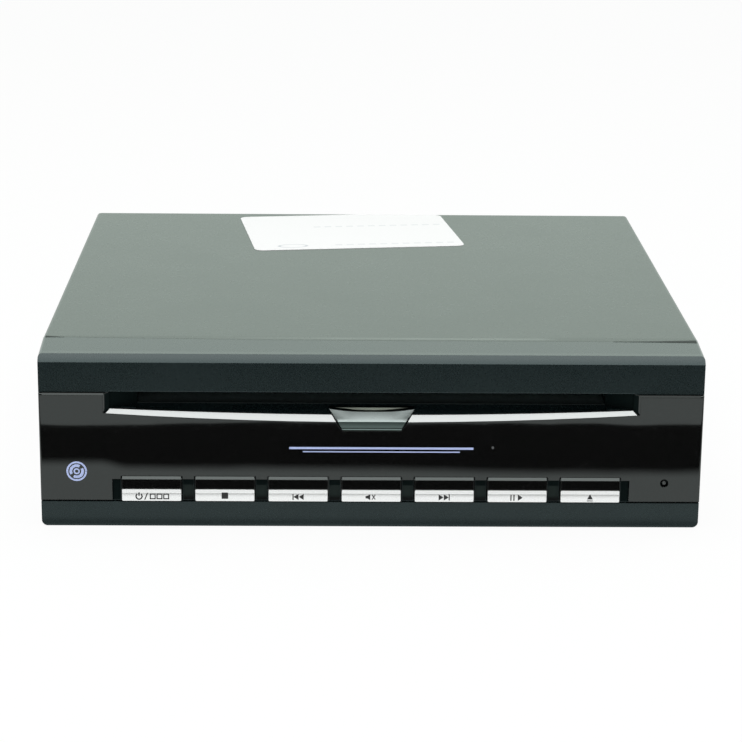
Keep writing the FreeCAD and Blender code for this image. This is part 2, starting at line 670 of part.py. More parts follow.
def fascia_frame():
    plate, notches = panel_outline(SEAT_GAP, BODY_HALF)
    pocket = cut(plate, notches)
    groove = box(-BODY_HALF, BODY_HALF, -OVERCUT, GROOVE_DEPTH, LOWER_BAND, PANEL_FOOT)
    mouth_half = RECESS_HALF - EAR_BEVEL
    mouth_rear = PANEL_INSET + MOUTH_LENGTH
    mouth = [
        (-mouth_half, -OVERCUT),
        (mouth_half, -OVERCUT),
        (mouth_half, PANEL_INSET),
        (THROAT_HALF, mouth_rear),
        (THROAT_HALF, THROAT_LENGTH + OVERCUT),
        (-THROAT_HALF, THROAT_LENGTH + OVERCUT),
        (-THROAT_HALF, mouth_rear),
        (-mouth_half, PANEL_INSET),
    ]
    throat = prism_z(mouth, SLOT_FLOOR, SLOT_TOP)
    ramp_foot = SLOT_FLOOR - THROAT_WALL
    before = PANEL_INSET - OVERCUT
    slope = [(before, ramp_foot), (PANEL_INSET, ramp_foot), (mouth_rear, SLOT_FLOOR), (before, SLOT_FLOOR)]
    ramp = prism_x(slope, -THROAT_HALF, THROAT_HALF)
    lip_top = SLOT_TOP + LIP_RADIUS
    lip = box(-mouth_half, mouth_half, -OVERCUT, LIP_RADIUS, SLOT_TOP - OVERCUT, lip_top)
    lip = lip.cut(rod_x(LIP_RADIUS, -RECESS_HALF, RECESS_HALF, LIP_RADIUS, lip_top))
    key_half = KEY_WIDTH / 2 + SLIDE_GAP
    behind = FRONT_WALL + OVERCUT
    z0, z1 = KEY_FOOT_Z - SLIDE_GAP, KEY_TOP + SLIDE_GAP
    key_holes = [box(x - key_half, x + key_half, -OVERCUT, behind, z0, z1) for x in KEY_XS]
    holes = [
        prism_y(scoop_outline(SEAT_GAP), -OVERCUT, SCOOP_DEPTH + SEAT_GAP),
        rod_y(RESET_PIN_RADIUS + FREE_GAP, RESET_X, -OVERCUT, behind, reset_z()),
        rod_y(LED_BODY_RADIUS + SEAT_GAP, LED_X, -OVERCUT, behind, led_z()),
    ]
    screws = [screw_hole(seat, axis) for seat, axis in front_board_screws()]
    return cut(fascia_shell(), [pocket, groove, throat, ramp, lip] + key_holes + holes + screws)


def reset_z():
    return PANEL_FOOT + RESET_LIFT


def led_z():
    return PANEL_FOOT + LED_LIFT


def trim_corners(bevel, drop):
    """Section of the slot trim, as (y, z) from its front edge round to its lower rear edge."""
    foot = SLOT_FLOOR - drop
    return [
        (PANEL_FRONT, foot),
        (PANEL_FRONT + bevel, foot + bevel),
        (PANEL_INSET, foot + bevel),
        (PANEL_INSET, foot),
    ]


def slot_plan(room):
    """The slot's cut through the panel, seen from above: its two ends are bevelled."""
    deep = RECESS_HALF - EAR_BEVEL - room
    wide = RECESS_HALF + OVERCUT - room
    outline = [
        (-wide, PANEL_FRONT - OVERCUT),
        (wide, PANEL_FRONT - OVERCUT),
        (deep, PANEL_FRONT + EAR_BEVEL),
        (deep, PANEL_INSET + OVERCUT),
        (-deep, PANEL_INSET + OVERCUT),
        (-deep, PANEL_FRONT + EAR_BEVEL),
    ]
    return prism_z(outline, 0, BODY_HEIGHT)


def slot_opening():
    """Everything above the trims' bowed lower edge."""
    y0 = PANEL_FRONT - OVERCUT
    end = SLOT_FLOOR - TRIM_END_DROP
    left = point(-RECESS_HALF - OVERCUT, y0, end)
    right = point(RECESS_HALF + OVERCUT, y0, end)
    bow = Part.Arc(left, point(0, y0, end - TRIM_BOW), right).toShape()
    rise = point(0, 0, BODY_HEIGHT - end)
    frame = Part.makePolygon([right, right + rise, left + rise, left])
    outline = Part.Wire([bow] + frame.Edges)
    return Part.Face(outline).extrude(point(0, PANEL_INSET + OVERCUT - y0, 0)).common(slot_plan(0))


def slot_trims():
    """One bowed bar, bevelled along its front, mitred at the ears and parted by the scoop."""
    half = RECESS_HALF + OVERCUT
    ends = trim_corners(TRIM_BEVEL_END, TRIM_END_DROP)
    middles = trim_corners(TRIM_BEVEL_MIDDLE, TRIM_END_DROP + TRIM_BOW)
    edges = []
    for (end_y, end_z), (middle_y, middle_z) in zip(ends, middles):
        left = point(-half, end_y, end_z)
        right = point(half, end_y, end_z)
        edges.append(Part.Arc(left, point(0, middle_y, middle_z), right).toShape())
    faces = [Part.makeRuledSurface(edges[index - 1], edges[index]) for index in range(len(edges))]
    faces += [face([point(side * half, y, z) for y, z in ends]) for side in (-1, 1)]
    skin = Part.makeCompound(faces)
    skin.sewShape()
    bar = Part.makeSolid(skin.Shells[0])
    if bar.Volume < 0:
        bar.reverse()
    bar = bar.common(slot_plan(TRIM_END_ROOM))
    gap = prism_y(scoop_outline(SEAT_GAP), PANEL_FRONT - OVERCUT, PANEL_INSET + OVERCUT)
    halves = bar.cut(gap).Solids
    return sorted(halves, key=lambda piece: piece.CenterOfMass.x)


def gloss_panel():
    plate, notches = panel_outline(0, FRONT_HALF)
    plate = round_edges(plate, PANEL_EDGE_RADIUS, lambda c: near(c.y, PANEL_FRONT))
    y0, y1 = PANEL_FRONT - OVERCUT, PANEL_INSET + OVERCUT
    tools = [
        slot_opening(),
        prism_y(scoop_outline(SEAT_GAP), y0, y1),
        rod_y(RESET_HOLE_RADIUS, RESET_X, y0, y1, reset_z()),
        rod_y(LED_RADIUS + SEAT_GAP / 2, LED_X, y0, y1, led_z()),
    ]
    return cut(plate, notches + tools)


def thumb_scoop():
    """Faceted scoop: bright foot edge, steep face, long slope and a raised lip at the slot."""
    foot = scoop_foot()
    top = foot + SCOOP_HEIGHT
    front = PANEL_FRONT - SCOOP_PROUD
    edge = front + SCOOP_EDGE
    knee_y = edge + SCOOP_EDGE
    knee_z = foot + SCOOP_EDGE + SCOOP_RISE
    slope_y = knee_y + SCOOP_SLOPE
    slope_z = knee_z + SCOOP_SLOPE
    groove = SCOOP_EDGE / 2
    profile = [
        (front, foot),
        (edge, foot + SCOOP_EDGE),
        (knee_y, knee_z),
        (slope_y, slope_z),
        (slope_y + groove, slope_z - groove),
        (slope_y + SCOOP_EDGE, top - SCOOP_EDGE / 2),
        (slope_y + SCOOP_LIP, top),
        (SCOOP_DEPTH, top),
        (SCOOP_DEPTH, foot),
    ]
    bar = prism_x(profile, -SCOOP_TOP_WIDTH, SCOOP_TOP_WIDTH)
    return bar.common(prism_y(scoop_outline(0), front - OVERCUT, SCOOP_DEPTH + OVERCUT))


def slot_felt():
    """Two thin liners, glued to the floor and the roof of the slot's throat."""
    half = THROAT_HALF - SEAT_GAP
    floor_y = PANEL_INSET + MOUTH_LENGTH
    rear = THROAT_LENGTH - FELT_END_GAP
    lower = box(-half, half, floor_y, rear, SLOT_FLOOR, SLOT_FLOOR + FELT_THICKNESS)
    upper = box(-half, half, floor_y, rear, SLOT_TOP - FELT_THICKNESS, SLOT_TOP)
    return group([lower, upper])


# Keys
def key_flange_y():
    return FRONT_WALL + SEAT_GAP


def stem_tip():
    return FRONT_BOARD_SETBACK - SWITCH_HEIGHT + STEM_IN_SWITCH


def key_body(x):
    """Gloss key: ledge for the plate, leaning upper face, thin top edge, rear flange and stem."""
    plate_y = PLATE_THICKNESS - KEY_PROUD
    lean = KEY_FACET_HEIGHT * math.tan(math.radians(KEY_FACET_LEAN))
    rear = key_flange_y()
    profile = [
        (plate_y, KEY_FOOT_Z),
        (plate_y, PLATE_TOP),
        (-KEY_PROUD, PLATE_TOP),
        (lean - KEY_PROUD, FACET_TOP),
        (lean - KEY_PROUD + KEY_EDGE, KEY_TOP),
        (rear, KEY_TOP),
        (rear, KEY_FOOT_Z),
    ]
    half = KEY_WIDTH / 2
    wide = half + KEY_FLANGE
    body = prism_x(profile, x - half, x + half)
    flange_rear = rear + KEY_FLANGE_THICKNESS
    flange = box(x - wide, x + wide, rear, flange_rear, KEY_FOOT_Z - KEY_FLANGE, KEY_TOP + KEY_FLANGE)
    stem = rod_y(STEM_RADIUS, x, flange_rear, stem_tip(), key_stem_z())
    return join([body, flange, stem])


def key_stem_z():
    return (KEY_FOOT_Z + KEY_TOP) / 2


def key_plate(x):
    half = KEY_WIDTH / 2
    plate = box(x - half, x + half, -KEY_PROUD, PLATE_THICKNESS - KEY_PROUD, KEY_FOOT_Z, PLATE_TOP)
    return round_edges(
        plate,
        PLATE_CORNER,
        lambda c: near(abs(c.x - x), half) and near(c.y, PLATE_THICKNESS / 2 - KEY_PROUD),
    )


def reset_button():
    z = reset_z()
    flange = key_flange_y()
    rear = flange + KEY_FLANGE_THICKNESS
    pin = rod_y(RESET_PIN_RADIUS, RESET_X, PANEL_FRONT + RESET_SINK, flange, z)
    collar = rod_y(RESET_FLANGE_RADIUS, RESET_X, flange, rear, z)
    stem = rod_y(STEM_RADIUS, RESET_X, rear, stem_tip(), z)
    return join([pin, collar, stem])


def status_led():
    z = led_z()
    shoulder = PANEL_INSET + SEAT_GAP
    pipe = rod_y(LED_RADIUS, LED_X, PANEL_FRONT, shoulder, z)
    body = rod_y(LED_BODY_RADIUS, LED_X, shoulder, FRONT_BOARD_SETBACK, z)
    return join([pipe, body])


def front_board():
    half = BODY_HALF - FASCIA_WALL - FRONT_BOARD_MARGIN
    z0 = FASCIA_WALL + FRONT_BOARD_MARGIN / 2
    z1 = SLOT_FLOOR - THROAT_WALL - FRONT_BOARD_MARGIN
    rear = FRONT_BOARD_SETBACK + BOARD_THICKNESS
    board = box(-half, half, FRONT_BOARD_SETBACK, rear, z0, z1)
    return cut(board, [screw_hole(seat, axis) for seat, axis in front_board_screws()])


def tact_switches():
    """One switch behind each key and the reset pin, with a well for the stem."""
    front = FRONT_BOARD_SETBACK - SWITCH_HEIGHT
    places = [(x, key_stem_z()) for x in KEY_XS] + [(RESET_X, reset_z())]
    half = SWITCH_SIDE / 2
    depth = STEM_IN_SWITCH + KEY_TRAVEL + SWITCH_WELL_ROOM
    switches = []
    for x, z in places:
        block = box(x - half, x + half, front, FRONT_BOARD_SETBACK, z - half, z + half)
        well = rod_y(STEM_RADIUS + FREE_GAP, x, front - OVERCUT, front + depth, z)
        switches.append(block.cut(well))
    return group(switches)


# Mechanism frame and what carries it
def post_places():
    return [(x, y) for x in (-POST_X, POST_X) for y in POST_YS]


def floor_standoffs():
    """Four tall posts for the mechanism and four short ones for the main board."""
    pieces = []
    for x, y in post_places():
        post = rod_z(POST_RADIUS, x, y, SHEET, DECK_Z - DAMPER_THICKNESS)
        grip = DECK_Z - DAMPER_THICKNESS - SHOULDER_SCREW_GRIP - SEAT_GAP
        hole = rod_z(SHOULDER_SCREW_RADIUS + FIXED_GAP, x, y, grip, DECK_Z)
        pieces.append(post.cut(hole))
    for seat, axis in main_board_screws():
        short = rod_z(STANDOFF_RADIUS, seat.x, seat.y, SHEET, BOARD_Z)
        pieces.append(short.cut(screw_hole(seat, axis)))
    return group(pieces)


def dampers():
    bore = SHOULDER_SCREW_RADIUS + FREE_GAP
    rings = []
    for x, y in post_places():
        ring = rod_z(DAMPER_RADIUS, x, y, DECK_Z - DAMPER_THICKNESS, DECK_Z)
        rings.append(ring.cut(rod_z(bore, x, y, DECK_Z - DAMPER_THICKNESS - OVERCUT, DECK_Z + OVERCUT)))
    return group(rings)


def shoulder_screws():
    pieces = []
    for x, y in post_places():
        tip = DECK_Z - DAMPER_THICKNESS - SHOULDER_SCREW_GRIP
        shank = rod_z(SHOULDER_SCREW_RADIUS, x, y, tip, DECK_TOP)
        head = rod_z(SHOULDER_HEAD_RADIUS, x, y, DECK_TOP, DECK_TOP + SHOULDER_HEAD_HEIGHT)
        pieces.append(join([shank, head]))
    return group(pieces)


def mechanism_frame():
    """Deck and two side walls bent from one sheet, with bores for the carriage pins."""
    outer = box(-FRAME_OUTER, FRAME_OUTER, FRAME_FRONT, DECK_REAR, DECK_Z, BRIDGE_Z)
    y0, y1 = FRAME_FRONT - OVERCUT, DECK_REAR + OVERCUT
    inside = box(-FRAME_INNER, FRAME_INNER, y0, y1, DECK_TOP, BRIDGE_Z + OVERCUT)
    bore = PIVOT_PIN_RADIUS + RUNNING_GAP
    tools = [inside, rod_x(bore, -FRAME_OUTER - OVERCUT, FRAME_OUTER + OVERCUT, PIVOT_Y, PIVOT_Z)]
    hole = SHOULDER_SCREW_RADIUS + FREE_GAP
    tools += [rod_z(hole, x, y, DECK_Z - OVERCUT, DECK_TOP + OVERCUT) for x, y in post_places()]
    tools += [screw_hole(seat, axis) for seat, axis in bridge_screws()]
    return cut(outer, tools)


def mechanism_bridge():
    """Top plate over the side walls: open in the middle, tabbed at the sides, eared at the rear."""
    outer = FRAME_OUTER + BRIDGE_SHEET
    top = BRIDGE_Z + BRIDGE_SHEET
    front = FRAME_FRONT + GUIDE_CLEAR
    rear = CLAMP_PIN_Y + BRIDGE_BORDER / 2
    plate = box(-outer, outer, front, rear, BRIDGE_Z, top)
    window_half = FRAME_INNER - 2 * BRIDGE_BORDER
    y0, y1 = front + BRIDGE_BORDER, rear - BRIDGE_BORDER
    window = box(-window_half, window_half, y0, y1, BRIDGE_Z - OVERCUT, top + OVERCUT)
    pieces = [plate.cut(window)]
    for side in (-1, 1):
        x0, x1 = sorted((side * FRAME_OUTER, side * outer))
        for y in bridge_tabs():
            half = BRIDGE_TAB_LENGTH / 2
            pieces.append(box(x0, x1, y - half, y + half, BRIDGE_Z - BRIDGE_TAB_HEIGHT, top))
    foot = CLAMP_PIN_Z - CLAMP_PIN_RADIUS - CLAMP_EAR_SHEET
    for x0, x1 in ear_spans():
        y0, y1 = CLAMP_PIN_Y - CLAMP_LUG_HALF, CLAMP_PIN_Y + CLAMP_LUG_HALF
        pieces.append(box(x0, x1, y0, y1, foot, BRIDGE_Z))
    reach = CLAMP_TAIL_WIDTH
    tools = [rod_x(CLAMP_PIN_RADIUS + FIXED_GAP, -reach, reach, CLAMP_PIN_Y, CLAMP_PIN_Z)]
    tools += [screw_hole(seat, axis) for seat, axis in bridge_screws()]
    return cut(join(pieces), tools)


def ear_spans():
    """X limits of the two ears that hold the clamp arm's pin."""
    inner = CLAMP_TAIL_WIDTH / 2 + CLAMP_EAR_GAP
    outer = inner + CLAMP_EAR_SHEET
    return [(-outer, -inner), (inner, outer)]


def disc_guide():
    """Upper guide that the roller presses the disc against, hung under the bridge's front edge."""
    half = THROAT_HALF - DISC_SIDE_ROOM / 2
    front = FRAME_FRONT + GUIDE_CLEAR
    foot = SLOT_TOP - FELT_THICKNESS + GUIDE_CLEAR
    lip = box(-half, half, front, front + GUIDE_LIP_LENGTH, foot, foot + GUIDE_LIP_THICKNESS)
    web_y = front + GUIDE_WEB_THICKNESS
    web = box(-half, half, web_y, web_y + GUIDE_WEB_THICKNESS, foot, BRIDGE_Z)
    return join([lip, web])


# Loading roller, carriage and gears
def gear(teeth, bore, y, z, phase):
    """Spur gear on an X axis; its trapezoid teeth are thinned so that a pair runs free."""
    pitch = GEAR_MODULE * teeth / 2
    root = pitch - GEAR_DEDENDUM * GEAR_MODULE
    tip = pitch + GEAR_ADDENDUM * GEAR_MODULE
    step = 2 * math.pi / teeth
    corners = [
        (-TOOTH_ROOT_SHARE, root),
        (-TOOTH_TIP_SHARE, tip),
        (TOOTH_TIP_SHARE, tip),
        (TOOTH_ROOT_SHARE, root),
    ]
    outline = []
    for tooth in range(teeth):
        for share, radius in corners:
            angle = phase + (tooth + share) * step
            outline.append((y + radius * math.cos(angle), z + radius * math.sin(angle)))
    blank = prism_x(outline, GEAR_X0, GEAR_X1)
    return blank.cut(rod_x(bore, GEAR_X0 - OVERCUT, GEAR_X1 + OVERCUT, y, z))


def direction(y, z):
    """Angle from the idler's axis to another axis, in the gears' plane."""
    return math.atan2(z - PIVOT_Z, y - PIVOT_Y)


def idler_gear():
    """Points one tooth straight at the roller gear."""
    bore = PIVOT_PIN_RADIUS + RUNNING_GAP
    return gear(IDLER_TEETH, bore, PIVOT_Y, PIVOT_Z, direction(ROLLER_Y, ROLLER_Z))


def meshing_phase(teeth, y, z):
    """Turns a gear so that its gap takes in the idler tooth nearest to the line of centres."""
    step = 2 * math.pi / IDLER_TEETH
    along = direction(y, z)
    offset = (direction(ROLLER_Y, ROLLER_Z) - along) % step
    return along + math.pi - offset * IDLER_TEETH / teeth + math.pi / teeth


def roller_gear():
    phase = meshing_phase(ROLLER_TEETH, ROLLER_Y, ROLLER_Z)
    return gear(ROLLER_TEETH, ROLLER_SHAFT_RADIUS + FIXED_GAP, ROLLER_Y, ROLLER_Z, phase)


def motor_pinion():
    phase = meshing_phase(PINION_TEETH, MOTOR_Y, MOTOR_Z)
    wheel = gear(PINION_TEETH, PINION_SHAFT_RADIUS, MOTOR_Y, MOTOR_Z, phase)
    inner_end = PINION_SHAFT_GRIP - ARM_INNER
    shaft = rod_x(PINION_SHAFT_RADIUS, GEAR_X0, inner_end, MOTOR_Y, MOTOR_Z)
    return join([wheel, shaft])


def loading_motor():
    end = LOADING_MOTOR_LENGTH - ARM_INNER
    can = rod_x(LOADING_MOTOR_RADIUS, -ARM_INNER, end, MOTOR_Y, MOTOR_Z)
    nose = rod_x(LOADING_MOTOR_NOSE_RADIUS, -ARM_OUTER, -ARM_INNER, MOTOR_Y, MOTOR_Z)
    bore = PINION_SHAFT_RADIUS + RUNNING_GAP
    well = rod_x(bore, -ARM_OUTER - OVERCUT, 2 * PINION_SHAFT_GRIP - ARM_INNER, MOTOR_Y, MOTOR_Z)
    return cut(join([can, nose]), [well])


def loading_roller():
    """Rubber roller, waisted in the middle so that it grips a disc near its edges only."""
    half = THROAT_HALF - ROLLER_END_ROOM
    bore = ROLLER_SHAFT_RADIUS + FIXED_GAP
    waist = (0, ROLLER_WAIST_RADIUS)
    outline = [(-half, bore), (-half, ROLLER_RADIUS), waist, (half, ROLLER_RADIUS), (half, bore)]
    section = face([point(x, ROLLER_Y + radius, ROLLER_Z) for x, radius in outline])
    return section.revolve(point(0, ROLLER_Y, ROLLER_Z), point(1, 0, 0), 360)


def roller_shaft():
    return rod_x(ROLLER_SHAFT_RADIUS, GEAR_X0 - PIN_OVERHANG, ARM_OUTER + PIN_OVERHANG, ROLLER_Y, ROLLER_Z)


def carriage_arm(side):
    """Side arm of the carriage; the left one reaches back to hold the loading motor."""
    eye = CARRIAGE_EYE
    foot = PIVOT_Z - CARRIAGE_BAR_DROP
    rear = MOTOR_Y + eye if side < 0 else PIVOT_Y + CARRIAGE_BAR_HALF
    outline = [
        (ROLLER_Y - eye, ROLLER_Z - eye),
        (ROLLER_Y - eye, ROLLER_Z + eye),
        (rear, PIVOT_Z + eye),
        (rear, MOTOR_Z - eye),
        (PIVOT_Y + CARRIAGE_BAR_HALF, foot),
        (PIVOT_Y - CARRIAGE_BAR_HALF, foot),
    ]
    x0, x1 = sorted((side * ARM_INNER, side * ARM_OUTER))
    return prism_x(outline, x0, x1)


def roller_carriage():
    foot = PIVOT_Z - CARRIAGE_BAR_DROP
    bar = box(
        -ARM_OUTER,
        ARM_OUTER,
        PIVOT_Y - CARRIAGE_BAR_HALF,
        PIVOT_Y + CARRIAGE_BAR_HALF,
        foot,
        foot + CARRIAGE_SHEET,
    )
    reach = ARM_OUTER + OVERCUT
    tools = [
        rod_x(ROLLER_SHAFT_RADIUS + RUNNING_GAP, -reach, reach, ROLLER_Y, ROLLER_Z),
        rod_x(PIVOT_PIN_RADIUS + FIXED_GAP, -reach, reach, PIVOT_Y, PIVOT_Z),
        rod_x(LOADING_MOTOR_NOSE_RADIUS + FIXED_GAP, -reach, 0, MOTOR_Y, MOTOR_Z),
    ]
    return cut(join([bar, carriage_arm(-1), carriage_arm(1)]), tools)


def carriage_pins():
    """Two stub pins: the left one also carries the idler."""
    inner = ARM_INNER - PIN_OVERHANG
    outer = FRAME_OUTER + PIN_OVERHANG
    return group(
        [
            rod_x(PIVOT_PIN_RADIUS, -outer, -inner, PIVOT_Y, PIVOT_Z),
            rod_x(PIVOT_PIN_RADIUS, inner, outer, PIVOT_Y, PIVOT_Z),
        ]
    )


# Spindle, turntable and clamp
def spindle_motor():
    top = DECK_TOP + SPINDLE_MOTOR_HEIGHT
    can = rod_z(SPINDLE_MOTOR_RADIUS, 0, SPINDLE_Y, DECK_TOP, top)
    bore = SPINDLE_RADIUS + RUNNING_GAP
    return can.cut(rod_z(bore, 0, SPINDLE_Y, top - SPINDLE_GRIP - SEAT_GAP, top + OVERCUT))


def turntable():
    seat = DISC_SEAT
    disc_foot = seat - TURNTABLE_THICKNESS
    motor_top = DECK_TOP + SPINDLE_MOTOR_HEIGHT
    platter = rod_z(TURNTABLE_RADIUS, 0, SPINDLE_Y, disc_foot, seat)
    neck = rod_z(TURNTABLE_NECK_RADIUS, 0, SPINDLE_Y, disc_foot - TURNTABLE_NECK_HEIGHT, disc_foot)
    spindle = rod_z(SPINDLE_RADIUS, 0, SPINDLE_Y, motor_top - SPINDLE_GRIP, disc_foot)
    hub = Part.makeCone(HUB_RADIUS, HUB_TIP_RADIUS, HUB_HEIGHT, point(0, SPINDLE_Y, seat), point(0, 0, 1))
    return join([platter, neck, spindle, hub])


def clamp_puck():
    """Free-spinning puck: pressing ring below the arm, stem through it, cap above it."""
    top = PUCK_FOOT + PUCK_THICKNESS
    ring = rod_z(PUCK_RADIUS, 0, SPINDLE_Y, PUCK_FOOT, top)
    recess = rod_z(PUCK_RECESS_RADIUS, 0, SPINDLE_Y, PUCK_FOOT - OVERCUT, PUCK_FOOT + PUCK_RECESS_DEPTH)
    cap_foot = CLAMP_TOP + PUCK_PLAY
    stem = rod_z(PUCK_STEM_RADIUS, 0, SPINDLE_Y, top, cap_foot)
    cap = rod_z(PUCK_CAP_RADIUS, 0, SPINDLE_Y, cap_foot, cap_foot + PUCK_CAP_HEIGHT)
    return join([ring.cut(recess), stem, cap])


def clamp_arm():
    """Tapered plate from the puck back to two lugs on the hinge pin."""
    nose_y = SPINDLE_Y - CLAMP_NOSE
    tail_y = CLAMP_PIN_Y - CLAMP_LUG_HALF
    nose = CLAMP_NOSE_WIDTH / 2
    tail = CLAMP_TAIL_WIDTH / 2
    plate = prism_z([(-nose, nose_y), (nose, nose_y), (tail, tail_y), (-tail, tail_y)], CLAMP_Z, CLAMP_TOP)
    lug_top = CLAMP_PIN_Z + CLAMP_PIN_RADIUS + FREE_GAP
    lugs = []
    for x0, x1 in ((-tail, CLAMP_SHEET - tail), (tail - CLAMP_SHEET, tail)):
        lugs.append(box(x0, x1, tail_y - CLAMP_LUG_HALF, CLAMP_PIN_Y + CLAMP_LUG_HALF, CLAMP_Z, lug_top))
    tools = [
        rod_z(PUCK_STEM_RADIUS + FREE_GAP, 0, SPINDLE_Y, CLAMP_Z - OVERCUT, CLAMP_TOP + OVERCUT),
        rod_x(CLAMP_PIN_RADIUS + RUNNING_GAP, -tail - OVERCUT, tail + OVERCUT, CLAMP_PIN_Y, CLAMP_PIN_Z),
    ]
    return cut(join([plate] + lugs), tools)


def clamp_arm_pin():
    reach = ear_spans()[1][1] + PIN_OVERHANG
    return rod_x(CLAMP_PIN_RADIUS, -reach, reach, CLAMP_PIN_Y, CLAMP_PIN_Z)


def clamp_spring():
    """Sleeve with the outer shape of the wound torsion spring on the clamp arm's pin."""
    half = CLAMP_SPRING_LENGTH / 2
    sleeve = rod_x(CLAMP_SPRING_RADIUS, -half, half, CLAMP_PIN_Y, CLAMP_PIN_Z)
    bore = CLAMP_PIN_RADIUS + FIXED_GAP
    return sleeve.cut(rod_x(bore, -half - OVERCUT, half + OVERCUT, CLAMP_PIN_Y, CLAMP_PIN_Z))


# Pickup
def pickup_sled():
    """Sled body with a long bush on the guide rod and a short nut round the lead screw."""
    foot = DECK_TOP + SLED_FLOOR_GAP
    top = foot + SLED_HEIGHT
    half = SLED_LENGTH / 2
    body = box(-SLED_HALF_WIDTH, SLED_HALF_WIDTH, SLED_Y - half, SLED_Y + half, foot, top)
    bush = box(
        SLED_HALF_WIDTH,
        ROD_X + BUSH_HALF,
        SLED_Y - BUSH_LENGTH / 2,
        SLED_Y + BUSH_LENGTH / 2,
        ROD_Z - BUSH_HEIGHT / 2,
        ROD_Z + BUSH_HEIGHT / 2,
    )
    nut = box(
        -ROD_X - BUSH_HALF,
        -SLED_HALF_WIDTH,
        SLED_Y - NUT_LENGTH / 2,
        SLED_Y + NUT_LENGTH / 2,
        ROD_Z - BUSH_HEIGHT / 2,
        ROD_Z + BUSH_HEIGHT / 2,
    )
    bores = [
        rod_y(ROD_RADIUS + RUNNING_GAP, ROD_X, SLED_Y - SLED_LENGTH, SLED_Y + SLED_LENGTH, ROD_Z),
        rod_y(ROD_RADIUS + FREE_GAP, -ROD_X, SLED_Y - SLED_LENGTH, SLED_Y + SLED_LENGTH, ROD_Z),
    ]
    return cut(join([body, bush, nut]), bores)


def objective_lens():
    foot = DECK_TOP + SLED_FLOOR_GAP + SLED_HEIGHT
    half = LENS_HOLDER_SIDE / 2
    holder = box(-half, half, SLED_Y - half, SLED_Y + half, foot, foot + LENS_HOLDER_HEIGHT)
    top = foot + LENS_HOLDER_HEIGHT
    lens = rod_z(LENS_RADIUS, 0, SLED_Y, top, top + LENS_RISE)
    return join([holder, lens])


def guide_rod():
    return rod_y(ROD_RADIUS, ROD_X, FRONT_HOLDER_Y, REAR_HOLDER_Y + HOLDER_LENGTH, ROD_Z)


def lead_screw():
    rear = REAR_HOLDER_Y + HOLDER_LENGTH + SCREW_GRIP_IN_MOTOR
    return rod_y(ROD_RADIUS, -ROD_X, FRONT_HOLDER_Y, rear, ROD_Z)


def rod_holders():
    blocks = []
    half = HOLDER_WIDTH / 2
    for x, gap in ((ROD_X, FIXED_GAP), (-ROD_X, RUNNING_GAP)):
        for y in (FRONT_HOLDER_Y, REAR_HOLDER_Y):
            rear = y + HOLDER_LENGTH
            block = box(x - half, x + half, y, rear, DECK_TOP, ROD_Z + HOLDER_CROWN)
            blocks.append(block.cut(rod_y(ROD_RADIUS + gap, x, y - OVERCUT, rear + OVERCUT, ROD_Z)))
    return group(blocks)


def sled_motor():
    front = REAR_HOLDER_Y + HOLDER_LENGTH
    can = rod_y(SLED_MOTOR_RADIUS, -ROD_X, front, front + SLED_MOTOR_LENGTH, ROD_Z)
    well_end = front + 2 * SCREW_GRIP_IN_MOTOR
    return can.cut(rod_y(ROD_RADIUS + RUNNING_GAP, -ROD_X, front - OVERCUT, well_end, ROD_Z))


# Main board and rear connectors
def main_board():
    board = box(-BOARD_HALF, BOARD_HALF, BOARD_FRONT, BOARD_REAR, BOARD_Z, BOARD_TOP)
    return cut(board, [screw_hole(seat, axis) for seat, axis in main_board_screws()])


def board_components():
    """Flat packages, a row of capacitors and the socket of the flat cable, all on the main board."""
    middle = (BOARD_FRONT + BOARD_REAR) / 2
    top = BOARD_TOP + CHIP_HEIGHT
    side = CHIP_SIDE / 2
    pieces = [box(-CHIP_X - side, side - CHIP_X, middle - CHIP_SIDE, middle, BOARD_TOP, top)]
    for row in (-1, 1):
        y = middle + row * MEMORY_LENGTH
        x = CHIP_X - side
        pieces.append(box(x, x + MEMORY_WIDTH, y, y + MEMORY_LENGTH, BOARD_TOP, top))
    x = BOARD_HALF - 2 * CAPACITOR_RADIUS
    for index in range(CAPACITOR_COUNT):
        y = middle + (index - (CAPACITOR_COUNT - 1) / 2) * CAPACITOR_PITCH
        pieces.append(rod_z(CAPACITOR_RADIUS, x, y, BOARD_TOP, BOARD_TOP + CAPACITOR_HEIGHT))
    half = CABLE_WIDTH / 2 + CABLE_SOCKET_RIM
    pieces.append(
        box(
            CABLE_X - half,
            CABLE_X + half,
            BOARD_FRONT,
            BOARD_FRONT + CABLE_SOCKET_DEPTH,
            BOARD_TOP,
            BOARD_TOP + CABLE_SOCKET_HEIGHT,
        )
    )
    return group(pieces)


def flat_cable():
    """Flat flexible cable, held between the rear of the front board and the main board's socket."""
    half = CABLE_WIDTH / 2
    front = FRONT_BOARD_SETBACK + BOARD_THICKNESS
    z = BOARD_TOP + CABLE_SOCKET_HEIGHT / 2
    return box(CABLE_X - half, CABLE_X + half, front, BOARD_FRONT, z, z + CABLE_THICKNESS)


def jack_xs():
    return [JACK_X + (index - (JACK_COUNT - 1) / 2) * JACK_PITCH for index in range(JACK_COUNT)]


def jack_z():
    return BOARD_TOP + JACK_BLOCK_HEIGHT / 2


def rear_jacks():
    """Row of round sockets on one block that stands on the main board behind the rear wall."""
    xs = jack_xs()
    front = REAR_WALL_Y - JACK_BLOCK_DEPTH
    half = JACK_PITCH / 2
    top = BOARD_TOP + JACK_BLOCK_HEIGHT
    block = box(xs[0] - half, xs[-1] + half, front, REAR_WALL_Y, BOARD_TOP, top)
    tip = BODY_REAR + JACK_REACH
    barrels = [rod_y(JACK_RADIUS, x, REAR_WALL_Y, tip, jack_z()) for x in xs]
    bores = [rod_y(JACK_BORE_RADIUS, x, tip - JACK_BORE_DEPTH, tip + OVERCUT, jack_z()) for x in xs]
    return cut(join([block] + barrels), bores)


